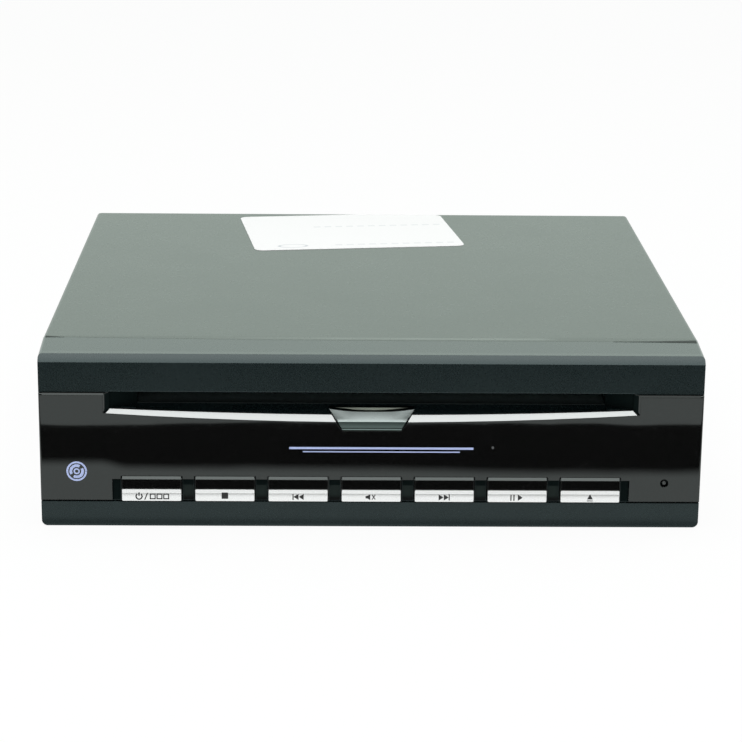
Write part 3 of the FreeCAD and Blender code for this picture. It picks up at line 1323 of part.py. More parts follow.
def power_connector():
    """Open block with two rows of pins."""
    half = PLUG_WIDTH / 2
    rear = BODY_REAR + PLUG_REACH
    top = BOARD_TOP + PLUG_HEIGHT
    block = box(PLUG_X - half, PLUG_X + half, REAR_WALL_Y - PLUG_DEPTH, rear, BOARD_TOP, top)
    floor_y = rear - PLUG_CAVITY_DEPTH
    cavity = box(
        PLUG_X - half + PLUG_WALL,
        PLUG_X + half - PLUG_WALL,
        floor_y,
        rear + OVERCUT,
        BOARD_TOP + PLUG_WALL,
        top - PLUG_WALL,
    )
    pieces = [block.cut(cavity)]
    middle = BOARD_TOP + PLUG_HEIGHT / 2
    for column in range(PLUG_PIN_COLUMNS):
        x = PLUG_X + (column - (PLUG_PIN_COLUMNS - 1) / 2) * PLUG_PIN_PITCH
        for row in (-1, 1):
            z = middle + row * PLUG_PIN_SPREAD
            pieces.append(rod_y(PLUG_PIN_RADIUS, x, floor_y - PLUG_WALL / 2, floor_y + PLUG_PIN_LENGTH, z))
    return join(pieces)


def rear_stud():
    """Support stud: flange inside the rear wall, collar and plain shank outside."""
    outside = REAR_WALL_Y + SHEET
    flange = rod_y(STUD_FLANGE_RADIUS, STUD_X, REAR_WALL_Y - STUD_FLANGE_THICKNESS, REAR_WALL_Y, STUD_LIFT)
    shank = rod_y(STUD_RADIUS, STUD_X, REAR_WALL_Y, STUD_TIP, STUD_LIFT)
    collar = rod_y(STUD_COLLAR_RADIUS, STUD_X, outside, outside + STUD_COLLAR_THICKNESS, STUD_LIFT)
    return join([flange, shank, collar])


def machine_screws():
    places = front_board_screws() + main_board_screws() + bridge_screws() + cover_screws()
    return group([screw(seat, axis) for seat, axis in places])


def build():
    os.makedirs("parts", exist_ok=True)
    save("bottom_chassis", bottom_chassis())
    save("top_cover", top_cover())
    save("top_label", top_label())
    save("fascia_frame", fascia_frame())
    save("gloss_panel", gloss_panel())
    trim_left, trim_right = slot_trims()
    save("slot_trim_left", trim_left)
    save("slot_trim_right", trim_right)
    save("thumb_scoop", thumb_scoop())
    save("slot_felt", slot_felt())
    for name, x in zip(KEY_NAMES, KEY_XS):
        save("key_" + name, key_body(x))
        save("key_plate_" + name, key_plate(x))
    save("reset_button", reset_button())
    save("status_led", status_led())
    save("front_board", front_board())
    save("tact_switches", tact_switches())
    save("floor_standoffs", floor_standoffs())
    save("dampers", dampers())
    save("shoulder_screws", shoulder_screws())
    save("mechanism_frame", mechanism_frame())
    save("mechanism_bridge", mechanism_bridge())
    save("disc_guide", disc_guide())
    save("roller_carriage", roller_carriage())
    save("carriage_pins", carriage_pins())
    save("loading_roller", loading_roller())
    save("roller_shaft", roller_shaft())
    save("roller_gear", roller_gear())
    save("idler_gear", idler_gear())
    save("loading_motor", loading_motor())
    save("motor_pinion", motor_pinion())
    save("spindle_motor", spindle_motor())
    save("turntable", turntable())
    save("clamp_arm", clamp_arm())
    save("clamp_arm_pin", clamp_arm_pin())
    save("clamp_spring", clamp_spring())
    save("clamp_puck", clamp_puck())
    save("pickup_sled", pickup_sled())
    save("objective_lens", objective_lens())
    save("guide_rod", guide_rod())
    save("lead_screw", lead_screw())
    save("rod_holders", rod_holders())
    save("sled_motor", sled_motor())
    save("main_board", main_board())
    save("board_components", board_components())
    save("flat_cable", flat_cable())
    save("rear_jacks", rear_jacks())
    save("power_connector", power_connector())
    save("rear_stud", rear_stud())
    save("machine_screws", machine_screws())


build()
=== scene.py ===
# %% [markdown]
# A slot-loading disc player for a car
# This lesson dresses a finished CAD model: a black sheet-metal box with a moulded
# front, a glossy panel, a slot for the disc and seven silver-faced keys.
# The CAD model is the fixed frame. It could be modelled again by eye, but then the
# keys would no longer meet their switches, so every new piece here takes its place
# from a CAD node and rides on a CAD body.

# %% Load the frame
import json

import bmesh
import bpy
import numpy as np
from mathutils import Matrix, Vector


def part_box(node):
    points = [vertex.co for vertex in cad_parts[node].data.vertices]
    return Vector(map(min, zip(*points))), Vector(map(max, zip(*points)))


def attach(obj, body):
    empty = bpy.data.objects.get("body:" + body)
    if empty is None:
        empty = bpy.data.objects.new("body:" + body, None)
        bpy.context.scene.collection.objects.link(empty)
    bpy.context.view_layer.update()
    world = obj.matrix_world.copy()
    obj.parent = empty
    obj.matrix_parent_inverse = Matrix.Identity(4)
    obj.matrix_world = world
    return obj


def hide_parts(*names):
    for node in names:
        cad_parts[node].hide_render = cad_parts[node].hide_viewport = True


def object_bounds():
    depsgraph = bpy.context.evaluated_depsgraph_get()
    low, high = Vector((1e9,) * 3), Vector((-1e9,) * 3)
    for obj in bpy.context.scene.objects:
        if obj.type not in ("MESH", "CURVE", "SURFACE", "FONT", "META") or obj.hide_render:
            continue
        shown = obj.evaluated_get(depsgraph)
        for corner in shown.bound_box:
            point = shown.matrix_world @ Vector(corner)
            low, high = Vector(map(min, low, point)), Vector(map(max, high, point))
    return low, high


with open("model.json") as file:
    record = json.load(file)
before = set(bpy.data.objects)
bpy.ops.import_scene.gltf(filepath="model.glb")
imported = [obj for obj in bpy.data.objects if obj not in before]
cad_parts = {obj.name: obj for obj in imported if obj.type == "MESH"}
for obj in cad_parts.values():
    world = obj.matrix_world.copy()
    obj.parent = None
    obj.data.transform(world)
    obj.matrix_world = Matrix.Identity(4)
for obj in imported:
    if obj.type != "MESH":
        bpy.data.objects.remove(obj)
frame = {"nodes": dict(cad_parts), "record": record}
cad_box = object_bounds()
MM = 0.001
size_mm = [round((high - low) / MM, 1) for low, high in zip(*cad_box)]
print("CAD box, mm:", size_mm, "nodes:", len(frame["nodes"]))

# %% [markdown]
# The camera
# A product photograph is taken from far away with a long lens, so the box keeps
# nearly parallel sides. The place and the three turns below were worked out from
# the corners of the box. An empty that the camera tracks would be the usual way,
# but it can't hold the small roll, so the turns are multiplied as matrices.

# %% Camera
CAMERA_PLACE = np.array([-12.98, -698.61, 215.60]) * MM
YAW, PITCH, ROLL = np.radians([-1.192, 15.843, 0.598])
PHOTO_SIDE = 742
FOCAL_PIXELS = 2378.2
SENSOR_WIDTH = 36.0


def turn(first, second, angle):
    """A turn by angle in the plane of two axes: cosines on the diagonal, sines beside it."""
    matrix = np.eye(3)
    matrix[[first, second], [first, second]] = np.cos(angle)
    matrix[first, second] = np.sin(angle)
    matrix[second, first] = -np.sin(angle)
    return matrix


right, forward, up = turn(0, 2, ROLL) @ turn(2, 1, PITCH) @ turn(0, 1, YAW)
camera_matrix = np.eye(4)
camera_matrix[:3] = np.stack([right, up, -forward, CAMERA_PLACE], axis=1)
camera = bpy.data.objects.new("camera", bpy.data.cameras.new("camera"))
bpy.context.scene.collection.objects.link(camera)
camera.matrix_world = camera_matrix.T.tolist()
camera.data.sensor_width = SENSOR_WIDTH
camera.data.lens = FOCAL_PIXELS / PHOTO_SIDE * SENSOR_WIDTH
bpy.context.scene.camera = camera
print("lens, mm:", round(camera.data.lens, 2), "looking along", forward.round(3))

# %% [markdown]
# Shader sums as Python
# A finish is a small calculation at every point of a surface: a noise here, a
# share of two colours there. Wiring it by hand takes a line for each node, so one
# small class stands for a socket and turns + - * into Math nodes, and one method
# adds any other node. Colours go through Mix nodes, because Math makes them grey.

# %% Sockets and recipes


class Amount:
    """A socket that carries a number, so that 1 - mask and mask * 0.2 add Math nodes."""

    def __init__(self, recipe, socket):
        self.recipe = recipe
        self.socket = socket

    def sum_of(self, operation, first, second):
        return self.recipe.node("ShaderNodeMath", {"operation": operation}, {0: first, 1: second})

    def __add__(self, other):
        return self.sum_of("ADD", self, other)

    def __radd__(self, other):
        return self.sum_of("ADD", other, self)

    def __sub__(self, other):
        return self.sum_of("SUBTRACT", self, other)

    def __rsub__(self, other):
        return self.sum_of("SUBTRACT", other, self)

    def __mul__(self, other):
        return self.sum_of("MULTIPLY", self, other)

    def __rmul__(self, other):
        return self.sum_of("MULTIPLY", other, self)


class Recipe:
    """The node tree of one finish, and the few steps that the finishes share."""

    def __init__(self, owner):
        owner.use_nodes = True
        self.owner = owner
        self.tree = owner.node_tree
        self.coordinates = None

    def node(self, kind, settings=None, sockets=None, output=0):
        """Adds a node: its settings first, then the value or the link of each socket."""
        made = self.tree.nodes.new(kind)
        for name, value in (settings or {}).items():
            setattr(made, name, value)
        self.fill(made, sockets or {})
        return Amount(self, made.outputs[output])

    def fill(self, made, sockets):
        for name, value in sockets.items():
            if isinstance(value, Amount):
                self.tree.links.new(value.socket, made.inputs[name])
            else:
                made.inputs[name].default_value = value

    def place(self):
        """The point on the piece in metres, which moves with the piece."""
        if self.coordinates is None:
            self.coordinates = self.node("ShaderNodeTexCoord", output="Object")
        return self.coordinates

    def along(self, axis):
        """One coordinate of the point: X, Y or Z."""
        return self.node("ShaderNodeSeparateXYZ", {}, {0: self.place()}, axis)

    def stretched(self, scale):
        """The point with each coordinate multiplied by its own scale."""
        return self.node("ShaderNodeVectorMath", {"operation": "MULTIPLY"}, {0: self.place(), 1: scale})

    def noise(self, scale, detail=2.0, stretch=None):
        """Cloudy noise from 0 to 1, with blotches about 1 / scale metres wide."""
        where = self.stretched(stretch) if stretch else self.place()
        return self.node("ShaderNodeTexNoise", {}, {"Vector": where, "Scale": scale, "Detail": detail})

    def cells(self, scale, feature="F1"):
        """Distance to the nearest of points about 1 / scale metres apart, or to its cell's edge."""
        sockets = {"Vector": self.place(), "Scale": scale}
        return self.node("ShaderNodeTexVoronoi", {"feature": feature}, sockets, "Distance")

    def span(self, value, low, high, start=0.0, end=1.0):
        """Moves low..high smoothly to start..end, and holds it there outside."""
        settings = {"interpolation_type": "SMOOTHSTEP"}
        return self.node("ShaderNodeMapRange", settings, {0: value, 1: low, 2: high, 3: start, 4: end})

    def single(self, operation, value):
        """A Math node with one input, such as SINE or ABSOLUTE."""
        return self.node("ShaderNodeMath", {"operation": operation}, {0: value})

    def line(self, value, centre, half, soft):
        """1 within half of centre, falling to 0 over soft more."""
        return self.span(self.single("ABSOLUTE", value - centre), half, half + soft, 1.0, 0.0)

    def blend(self, share, first, second):
        """first where share is 0, second where it is 1: colours or other blends."""
        pair = [c if isinstance(c, Amount) else (*c, 1.0) for c in (first, second)]
        return self.node("ShaderNodeMix", {"data_type": "RGBA"}, {0: share, 6: pair[0], 7: pair[1]}, 2)

    def soft_edge(self, radius):
        """A normal that turns smoothly over a sharp edge, as if it were rounded."""
        return self.node("ShaderNodeBevel", {"samples": 6}, {"Radius": radius})

    def bump(self, height, depth, under=None):
        """A normal tilted by a height map whose 0..1 stands for depth metres."""
        sockets = {"Height": height, "Distance": depth, "Strength": 1.0}
        if under:
            sockets["Normal"] = under
        return self.node("ShaderNodeBump", {}, sockets)

    def shade(self, sockets):
        """Sets the sockets of the main shader and gives the finished material."""
        self.fill(self.tree.nodes["Principled BSDF"], sockets)
        return self.owner

    def surface(self, share, first, second):
        """Ends in a mix of two shaders instead, and gives the finished material."""
        both = self.node("ShaderNodeMixShader", {}, {0: share, 1: first, 2: second})
        self.fill(self.tree.nodes["Material Output"], {"Surface": both})
        return self.owner


def new_recipe(name):
    return Recipe(bpy.data.materials.new(name))


print("recipe steps:", [name for name in vars(Recipe) if not name.startswith("_")])

# %% [markdown]
# Surfaces from whole arrays
# A new piece is a grid of points, one array for the whole surface, and its faces
# are index arithmetic. Modelling by hand in edit mode is quicker for one piece,
# but a formula can be read, checked and moved with the CAD sizes. Two matching
# grids closed round their rim make a thin solid, which has no open edges.

# %% Grid helpers


def grid_faces(rows, columns, wrap=False):
    """Quads over points numbered row by row: a point, the next in its row, and the two a row on."""
    row = np.arange(rows if wrap else rows - 1)[:, None]
    column = np.arange(columns if wrap else columns - 1)[None, :]
    row_on = (row + 1) % rows
    column_on = (column + 1) % columns
    corners = [row * columns + column, row * columns + column_on]
    corners += [row_on * columns + column_on, row_on * columns + column]
    return np.stack(corners, axis=-1).reshape(-1, 4)


def closed_pad(front, back):
    """Two grids of the same shape, and a wall of quads joining their rims point to point."""
    rows, columns = front.shape[:2]
    count = rows * columns
    number = np.arange(count).reshape(rows, columns)
    rim = np.concatenate([number[0, :-1], number[:-1, -1], number[-1, :0:-1], number[:0:-1, 0]])
    rim_on = np.roll(rim, -1)
    sheet = grid_faces(rows, columns)
    wall = np.stack([rim_on, rim, rim + count, rim_on + count], axis=-1)
    points = np.concatenate([front.reshape(-1, 3), back.reshape(-1, 3)])
    return points, np.concatenate([sheet, sheet[:, ::-1] + count, wall])


def backed(x, y, z, axis, level):
    """A grid of points, and a back with the same points, but for one coordinate at a level."""
    front = np.stack(np.broadcast_arrays(x, y, z), axis=-1)
    back = front.copy()
    back[..., axis] = level
    return closed_pad(front, back)


def joined(shapes):
    """Several (points, faces) as one, each shape's face numbers moved on past the points before."""
    starts = np.cumsum([0] + [len(points) for points, faces in shapes[:-1]])
    numbered = [faces + start for start, (points, faces) in zip(starts, shapes)]
    return np.concatenate([points for points, faces in shapes]), np.concatenate(numbered)


def add_piece(name, shape, finish, body="player_body", replaces=(), crease=30):
    """Puts a shape in a mesh, turns its faces outwards and lets it ride on a CAD body."""
    points, faces = shape
    mesh = bpy.data.meshes.new(name)
    mesh.from_pydata(points.tolist(), [], faces.tolist())
    work = bmesh.new()
    work.from_mesh(mesh)
    bmesh.ops.recalc_face_normals(work, faces=work.faces)
    work.to_mesh(mesh)
    work.free()
    mesh.shade_smooth()
    mesh.set_sharp_from_angle(angle=np.radians(crease))
    mesh.materials.append(finish)
    piece = bpy.data.objects.new(name, mesh)
    bpy.context.scene.collection.objects.link(piece)
    if body:
        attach(piece, body)
    if replaces:
        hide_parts(*replaces)
    print(name, "has", len(points), "points and", len(faces), "faces on", body)
    return piece


# %% [markdown]
# The floor and the light
# The photograph has a white surround. White paper could simply be lit until it
# burns out, but then the black box would be lit too brightly. So the light stays
# plain, and the paper glows white only to the camera and in reflections. Part of
# its own shade is kept, so that the box still has a faint shadow under it.

# %% White paper
FLOOR_HALF = 4.0
FLOOR_DROP = 0.05 * MM
PAPER_GLOW = 0.95


def flat_sheet(x_lines, y_lines, z):
    """A level grid: every x with every y at height z."""
    x, y = np.meshgrid(x_lines, y_lines, indexing="ij")
    points = np.stack([x, y, np.full_like(x, z)], axis=-1)
    return points.reshape(-1, 3), grid_faces(len(x_lines), len(y_lines))


def ray_kinds(recipe):
    """1 for a ray from the camera, from a mirror or through glass, and 0 for other rays."""
    rays = [recipe.node("ShaderNodeLightPath", output=name)
            for name in ("Is Camera Ray", "Is Glossy Ray", "Is Transmission Ray")]
    return recipe.span(rays[0] + rays[1] + rays[2], 0.0, 1.0)


def paper():
    recipe = new_recipe("white_paper")
    fibre = recipe.noise(900.0)
    tone = recipe.blend(fibre, (0.93, 0.93, 0.93), (0.95, 0.95, 0.95))
    diffuse = recipe.node("ShaderNodeBsdfDiffuse", {}, {"Color": tone})
    glow = recipe.node("ShaderNodeEmission", {}, {"Color": (0.99, 0.99, 0.99, 1.0)})
    return recipe.surface(PAPER_GLOW * ray_kinds(recipe), diffuse, glow)


lines = np.linspace(-FLOOR_HALF, FLOOR_HALF, 9)
floor = add_piece("floor", flat_sheet(lines, lines, -FLOOR_DROP), paper(), None)

# %% [markdown]
# Dark cards in front
# Glossy black plastic has no colour of its own to show: it shows the room. The
# middle of the real panel reflects something dark lying before it, with white
# above and below, and the band over the slot reflects the end of the paper. A dark
# stripe painted on the panel would stay put when the view turns, so cards lie on
# the paper instead, and only mirrors see them. The smallest one stands for the
# shade right under the front.

# %% Cards
CARD_HALF = 700 * MM
CARD_BENT = 100 * MM
CARD_SPANS = {
    # The foot card is painted shade: a dark sheet for the shadow on the paper under the front, seen only
    # in mirrors.
    "foot_shade_card": (0 * MM, 4 * MM, 0.5 * MM, 0.5),
    "near_card": (50 * MM, 92 * MM, 5.5 * MM, 1.0),
    "far_card": (136 * MM, 900 * MM, 6 * MM, 1.0),
}
CARD_LIFT = 0.2 * MM
CARD_WAVER = 2.0 * MM
FAR_BULGE = {"near_card": (-69 * MM, -54 * MM, 2.8 * MM)}
NEAR_BENDS = {"near_card": ((-78 * MM, -69 * MM, 5.0 * MM, 0.0), (10 * MM, 40 * MM, 0.0, -2.6 * MM))}
panel_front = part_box("gloss_panel")[0].y


def dark_card(name, near, soft, share):
    """Black felt that fades in over twice soft, about near metres before the panel, up to a
    share. The smallest card is painted shade: it stands for the shadow on the paper under the
    front. Noise and a few bends move its edge to and fro, as with any cloth."""
    recipe = new_recipe(name)
    waver = CARD_WAVER * (recipe.noise(14.0, 1.0) - 0.5)
    ahead = panel_front - recipe.along("Y") + waver
    for left, right, start, end in NEAR_BENDS.get(name, ()):
        ahead = ahead - recipe.span(recipe.along("X"), left, right, start, end)
    cover = recipe.span(ahead, near - soft, near + soft, 0.0, share)
    clear = recipe.node("ShaderNodeBsdfTransparent")
    felt = recipe.node("ShaderNodeBsdfDiffuse", {}, {"Color": (0.004, 0.004, 0.004, 1.0)})
    return recipe.surface(cover, clear, felt)


for name, (near, far, soft, share) in CARD_SPANS.items():
    card_y = np.linspace(panel_front - far, panel_front - near + 2 * soft, 5)
    card_x = np.concatenate([[-CARD_HALF], np.linspace(-CARD_BENT, CARD_BENT, 81), [CARD_HALF]])
    points, faces = flat_sheet(card_x, card_y, CARD_LIFT)
    left, right, bulge = FAR_BULGE.get(name, (0.0, 1.0, 0.0))
    far_edge = points[:, 1] == card_y[0]
    points[:, 1] -= bulge * np.interp(points[:, 0], (left, right), (0.0, 1.0)) * far_edge
    card = add_piece(name, (points, faces), dark_card(name, near, soft, share), None)
    for rays in ("camera", "diffuse", "shadow", "transmission"):
        setattr(card, "visible_" + rays, False)

# %% [markdown]
# Softbox and room
# One broad lamp hangs over the box and a little in front. It makes the bright
# lines on bevels. A second one fills in the front, and mirrors don't see it, or
# every black face would turn grey. The room behind is white, as the backdrop is,
# and the side where the photographer stands is dim. A picture of a studio could
# light it as well, but a few numbers and a smooth step are easier to follow.

# %% Lamps
ROOM_BEHIND = 1.16
ROOM_BEFORE = 0.07
ROOM_FADE = (-0.15, 0.35)
ROOM_TONE = (0.88, 1.0, 0.925, 1.0)


def lamp(name, size, place, tilt, glow):
    """A flat lamp. Its watts are its glow times pi times its area."""
    made = bpy.data.objects.new(name, bpy.data.lights.new(name, "AREA"))
    bpy.context.scene.collection.objects.link(made)
    made.data.shape = "RECTANGLE"
    made.data.size, made.data.size_y = size
    made.data.energy = glow * np.pi * size[0] * size[1]
    made.location = place
    made.rotation_euler = (np.radians(tilt), 0.0, 0.0)
    print(name, "has", round(made.data.energy, 2), "watts")
    return made


lamp("softbox", size=(1.0, 1.0), place=(0.0, -0.20, 1.0), tilt=0.0, glow=3.0)
fill = lamp("front_fill", size=(1.6, 1.2), place=(0.0, -1.6, 0.7), tilt=66.0, glow=1.5)
fill.visible_glossy = False

world = bpy.data.worlds.new("room")
bpy.context.scene.world = world
room = Recipe(world)
direction = room.node("ShaderNodeTexCoord", output="Generated")
depth = room.node("ShaderNodeSeparateXYZ", {}, {0: direction}, "Y")
shown = room.node("ShaderNodeLightPath", output="Is Camera Ray")
level = room.span(depth, *ROOM_FADE, ROOM_BEFORE, ROOM_BEHIND)
strength = shown + (1.0 - shown) * level
room.fill(room.tree.nodes["Background"], {"Color": ROOM_TONE, "Strength": strength})
bpy.context.scene.view_settings.view_transform = "Standard"
print("room levels:", ROOM_BEFORE, "before and", ROOM_BEHIND, "behind")

# %% [markdown]
# Black powder coat and grained plastic
# The cover is steel with a fine powder coat, and the front is moulded in a tool
# with a spark-eroded grain. Both are black, and look grey on top only because a
# low angle mirrors the white room. So the colour stays dark, and a fine grain
# moves the roughness and the normal. The edges get a small rounding in the shader,
# because the CAD edges are sharp and a real edge catches a line of light.

# %% Coat and grain
COOL_GLEAM = (0.90, 1.0, 0.97, 1.0)
COVER_TONES = (0.020, 0.026, 0.022), (0.040, 0.048, 0.043)
POLISH_HEIGHTS = (45.4 * MM, 47.2 * MM)
RUBBED_HEIGHT = 47.545 * MM


def powder_coat(name, edge, dressing=None):
    """Fine specks between two tones. The last argument, where given, paints a highlight into their colour.
    """
    recipe = new_recipe(name)
    speck = recipe.noise(1300.0, 3.0)
    cloud = recipe.noise(40.0)
    tone = recipe.blend(recipe.span(speck, 0.35, 0.7), *COVER_TONES)
    return recipe.shade({
        "Base Color": dressing(recipe, tone) if dressing else tone,
        "Roughness": 0.20 + 0.17 * speck + 0.03 * cloud,
        "Normal": recipe.bump(speck, 0.03 * MM, recipe.soft_edge(edge)),
        "IOR": 1.6,
        "Specular Tint": COOL_GLEAM,
    })


def moulding(name, dark, light, rough, grain=2200.0, depth=0.012 * MM, edge=0.0, ior=1.5,
             tint=COOL_GLEAM):
    recipe = new_recipe(name)
    pits = recipe.noise(grain, 2.0)
    flow = recipe.noise(60.0, 3.0)
    under = recipe.soft_edge(edge) if edge else None
    return recipe.shade({
        "Base Color": recipe.blend(recipe.span(pits + 0.4 * flow, 0.4, 1.0), dark, light),
        "Roughness": rough - 0.05 + 0.08 * pits + 0.04 * flow,
        "Normal": recipe.bump(pits, depth, under),
        "IOR": ior,
        "Specular Tint": tint,
    })


def fascia_grain():
    """The grained moulding, with a thin clear coat on its top, which is wiped most often, and a
    little more of it along the upper edge."""
    made = Recipe(moulding("fascia_plastic", (0.003, 0.008, 0.009), (0.009, 0.015, 0.016), 0.27,
                           depth=0.006 * MM, edge=0.2 * MM, ior=1.46, tint=(0.80, 1.0, 1.0, 1.0)))
    height = made.along("Z")
    polish = made.span(height, *POLISH_HEIGHTS, 0.0, 0.30)
    rubbed = made.line(height, RUBBED_HEIGHT, 0.015 * MM, 0.02 * MM)
    return made.shade({"Coat Weight": polish + 0.14 * rubbed, "Coat Roughness": 0.26})


MOULDINGS = {
    "black_plastic": ((0.010, 0.010, 0.011), (0.020, 0.020, 0.021), 0.50),
    "reset_grey": ((0.045, 0.047, 0.047), (0.070, 0.072, 0.072), 0.45),
    "gear_plastic": ((0.68, 0.66, 0.60), (0.76, 0.74, 0.68), 0.38, 900.0),
    "rubber": ((0.012, 0.012, 0.012), (0.030, 0.030, 0.029), 0.75, 1600.0, 0.03 * MM),
}
finishes = {name: moulding(name, *values) for name, values in MOULDINGS.items()}
finishes["cover_paint"] = powder_coat("cover_paint", 0.3 * MM)
finishes["fascia_plastic"] = fascia_grain()
print("mouldings and coats:", sorted(finishes))

# %% [markdown]
# Gloss black
# The panel and the keys are polished black plastic. A perfectly flat mirror looks
# like glass, while moulded plastic is slightly wavy and picks up hair scratches.
# The wave is a very low bump over centimetres, and the scratches are noise drawn
# out along the panel, which only roughens it a little.

# %% Gloss


def gloss_black(name, edge, ior=1.6):
    recipe = new_recipe(name)
    wave = recipe.noise(45.0, 1.0)
    hairs = recipe.noise(1.0, 2.0, (130.0, 900.0, 2600.0))
    dust = recipe.span(recipe.noise(700.0, 4.0), 0.62, 0.8)
    return recipe.shade({
        "Base Color": recipe.blend(dust, (0.004, 0.004, 0.004), (0.010, 0.010, 0.010)),
        "Roughness": 0.035 + 0.03 * recipe.span(hairs, 0.5, 0.8) + 0.05 * dust,
        "Normal": recipe.bump(wave, 0.07 * MM, recipe.soft_edge(edge)),
        "IOR": ior,
        "Specular Tint": COOL_GLEAM,
    })


finishes["gloss_black"] = gloss_black("gloss_black", 0.25 * MM)
key_gloss = gloss_black("key_gloss", 0.2 * MM)

# %% [markdown]
# Metals
# Rolled steel has streaks along the sheet, zinc has faint crystals, and the silver
# parts on the front are satin metal films. All are the same recipe: a metallic
# shader whose colour and roughness follow a stretched noise. Anisotropic shading
# would do streaks too, but it can't be carried to other programs as an image.

# %% Metals


def metal(name, dark, light, rough, stretch, depth=0.002 * MM, crystals=0.0):
    recipe = new_recipe(name)
    streak = recipe.noise(1.0, 3.0, stretch)
    stain = recipe.noise(55.0, 2.0)
    flake = recipe.cells(crystals) if crystals else stain
    share = recipe.span(0.6 * streak + 0.4 * flake, 0.25, 0.75)
    return recipe.shade({
        "Base Color": recipe.blend(share, dark, light),
        "Metallic": 1.0,
        "Roughness": rough - 0.06 + 0.10 * streak + 0.04 * stain,
        "Normal": recipe.bump(streak, depth),
    })


METALS = {
    "chassis_steel": ((0.48, 0.49, 0.49), (0.60, 0.61, 0.61), 0.36, (60, 1500, 1500), 0.002 * MM, 160),
    "mechanism_steel": ((0.46, 0.47, 0.47), (0.60, 0.61, 0.60), 0.34, (1500, 80, 1500), 0.002 * MM, 220),
    "bright_steel": ((0.62, 0.62, 0.61), (0.74, 0.74, 0.73), 0.24, (700, 700, 700)),
    "jack_metal": ((0.64, 0.63, 0.60), (0.76, 0.75, 0.72), 0.22, (900, 120, 900)),
    "trim_silver": ((0.290, 0.301, 0.298), (0.324, 0.335, 0.332), 0.30, (90, 1200, 1200), 0.0004 * MM),
    "scoop_silver": ((0.15, 0.175, 0.17), (0.185, 0.215, 0.21), 0.30, (120, 2200, 2200)),
    "plate_silver": ((0.93, 0.95, 0.945), (0.97, 0.99, 0.98), 0.24, (110, 1200, 1200), 0.0004 * MM),
}
finishes.update({name: metal(name, *values) for name, values in METALS.items()})
print("metals:", sorted(METALS))

# %% [markdown]
# The small finishes
# Felt lines the slot, a clear rod carries the lamp's light to the panel, and boards,
# ribbon and lens fill the inside. Each gets what one would see up close: fibres,
# copper tracks under green lacquer, tin lines in the ribbon, a coated glass.

# %% Felt, clear rod, board, ribbon, lens


# The felt's painted shade and light: dark at its front edge, light inside, fading between these depths.
FELT_LIGHT_FADE = (-87.2 * MM, -79.5 * MM)
WIRE_PITCH = 1.0 * MM


def felt_nap(name, tones, inside=None):
    """Fibres between two tones. Where the inside has tones of its own, the first two are those of
    the front edge: the front edge is painted darker as shade and the inside painted lighter as light."""
    recipe = new_recipe(name)
    fibre = recipe.noise(1.0, 4.0, (5000.0, 1400.0, 5000.0))
    tuft = recipe.noise(800.0, 3.0)
    tone = recipe.blend(fibre, *tones)
    if inside:
        painted_light_share = recipe.span(recipe.along("Y"), *FELT_LIGHT_FADE)
        tone = recipe.blend(painted_light_share, tone, recipe.blend(fibre, *inside))
    return recipe.shade({
        "Base Color": tone,
        "Roughness": 0.85 + 0.12 * tuft,
        "Normal": recipe.bump(0.6 * fibre + 0.4 * tuft, 0.06 * MM),
        "Specular IOR Level": 0.0,
    })


def clear_piece(name, scale, detail, dark, light, rough, depth, ior, clear):
    """A see-through piece with a haze. rough is its least roughness and what the haze adds."""
    recipe = new_recipe(name)
    haze = recipe.noise(scale, detail)
    return recipe.shade({
        "Base Color": recipe.blend(haze, dark, light),
        "Roughness": rough[0] + rough[1] * haze,
        "Normal": recipe.bump(haze, depth),
        "IOR": ior,
        "Transmission Weight": clear,
    })


def board_lacquer():
    recipe = new_recipe("circuit_board")
    weave = recipe.noise(1.0, 1.0, (2600.0, 2600.0, 2600.0))
    track = recipe.span(recipe.cells(260.0, "DISTANCE_TO_EDGE"), 0.04, 0.08, 1.0, 0.0)
    lacquer = recipe.blend(track, (0.012, 0.085, 0.035), (0.035, 0.150, 0.060))
    return recipe.shade({
        "Base Color": recipe.blend(0.25 * weave, lacquer, (0.02, 0.05, 0.03)),
        "Roughness": 0.32 + 0.10 * weave,
        "Normal": recipe.bump(track, 0.02 * MM),
        "IOR": 1.5,
    })


def ribbon():
    recipe = new_recipe("flat_cable")
    wave = recipe.single("SINE", 2 * np.pi / WIRE_PITCH * recipe.along("X"))
    wire = recipe.span(wave, -0.2, 0.2)
    return recipe.shade({
        "Base Color": recipe.blend(wire, (0.80, 0.81, 0.82), (0.52, 0.53, 0.55)),
        "Roughness": 0.30 + 0.12 * wire,
        "Normal": recipe.bump(wire, 0.05 * MM),
    })


# Tones of the felt: near black at the front edge as painted shade, much paler inside as painted light.
FELT_FRONT_SHADED = (0.012, 0.016, 0.016), (0.029, 0.036, 0.036)
FELT_INSIDE_LIT = (0.08, 0.11, 0.11), (0.20, 0.25, 0.25)
finishes.update({
    "felt": felt_nap("felt", FELT_FRONT_SHADED, FELT_INSIDE_LIT),
    "light_pipe": clear_piece("light_pipe", 500.0, 2.0, (0.16, 0.17, 0.18), (0.24, 0.25, 0.26),
                              (0.30, 0.08), 0.004 * MM, 1.49, 0.3),
    "circuit_board": board_lacquer(),
    "flat_cable": ribbon(),
    "lens_glass": clear_piece("lens_glass", 120.0, 1.0, (0.45, 0.40, 0.75), (0.40, 0.55, 0.80),
                              (0.03, 0.03), 0.002 * MM, 1.6, 0.8),
})
# A near-black nap for dark sheets of painted shade, in the bay and at the ends of the slot.
painted_shade_nap = felt_nap("painted_shade_nap", ((0.003, 0.006, 0.006), (0.008, 0.012, 0.012)))
print("finishes so far:", len(finishes))

# %% [markdown]
# The paper label
# A white stock label lies askew on the cover, with two rows of plain dashes and a
# ring in pale ink. They could be thin pieces, but ink has no thickness, so they
# are drawn in the material. A Mapping node moves and turns the point, so that the
# rows run along the label and not along the box.

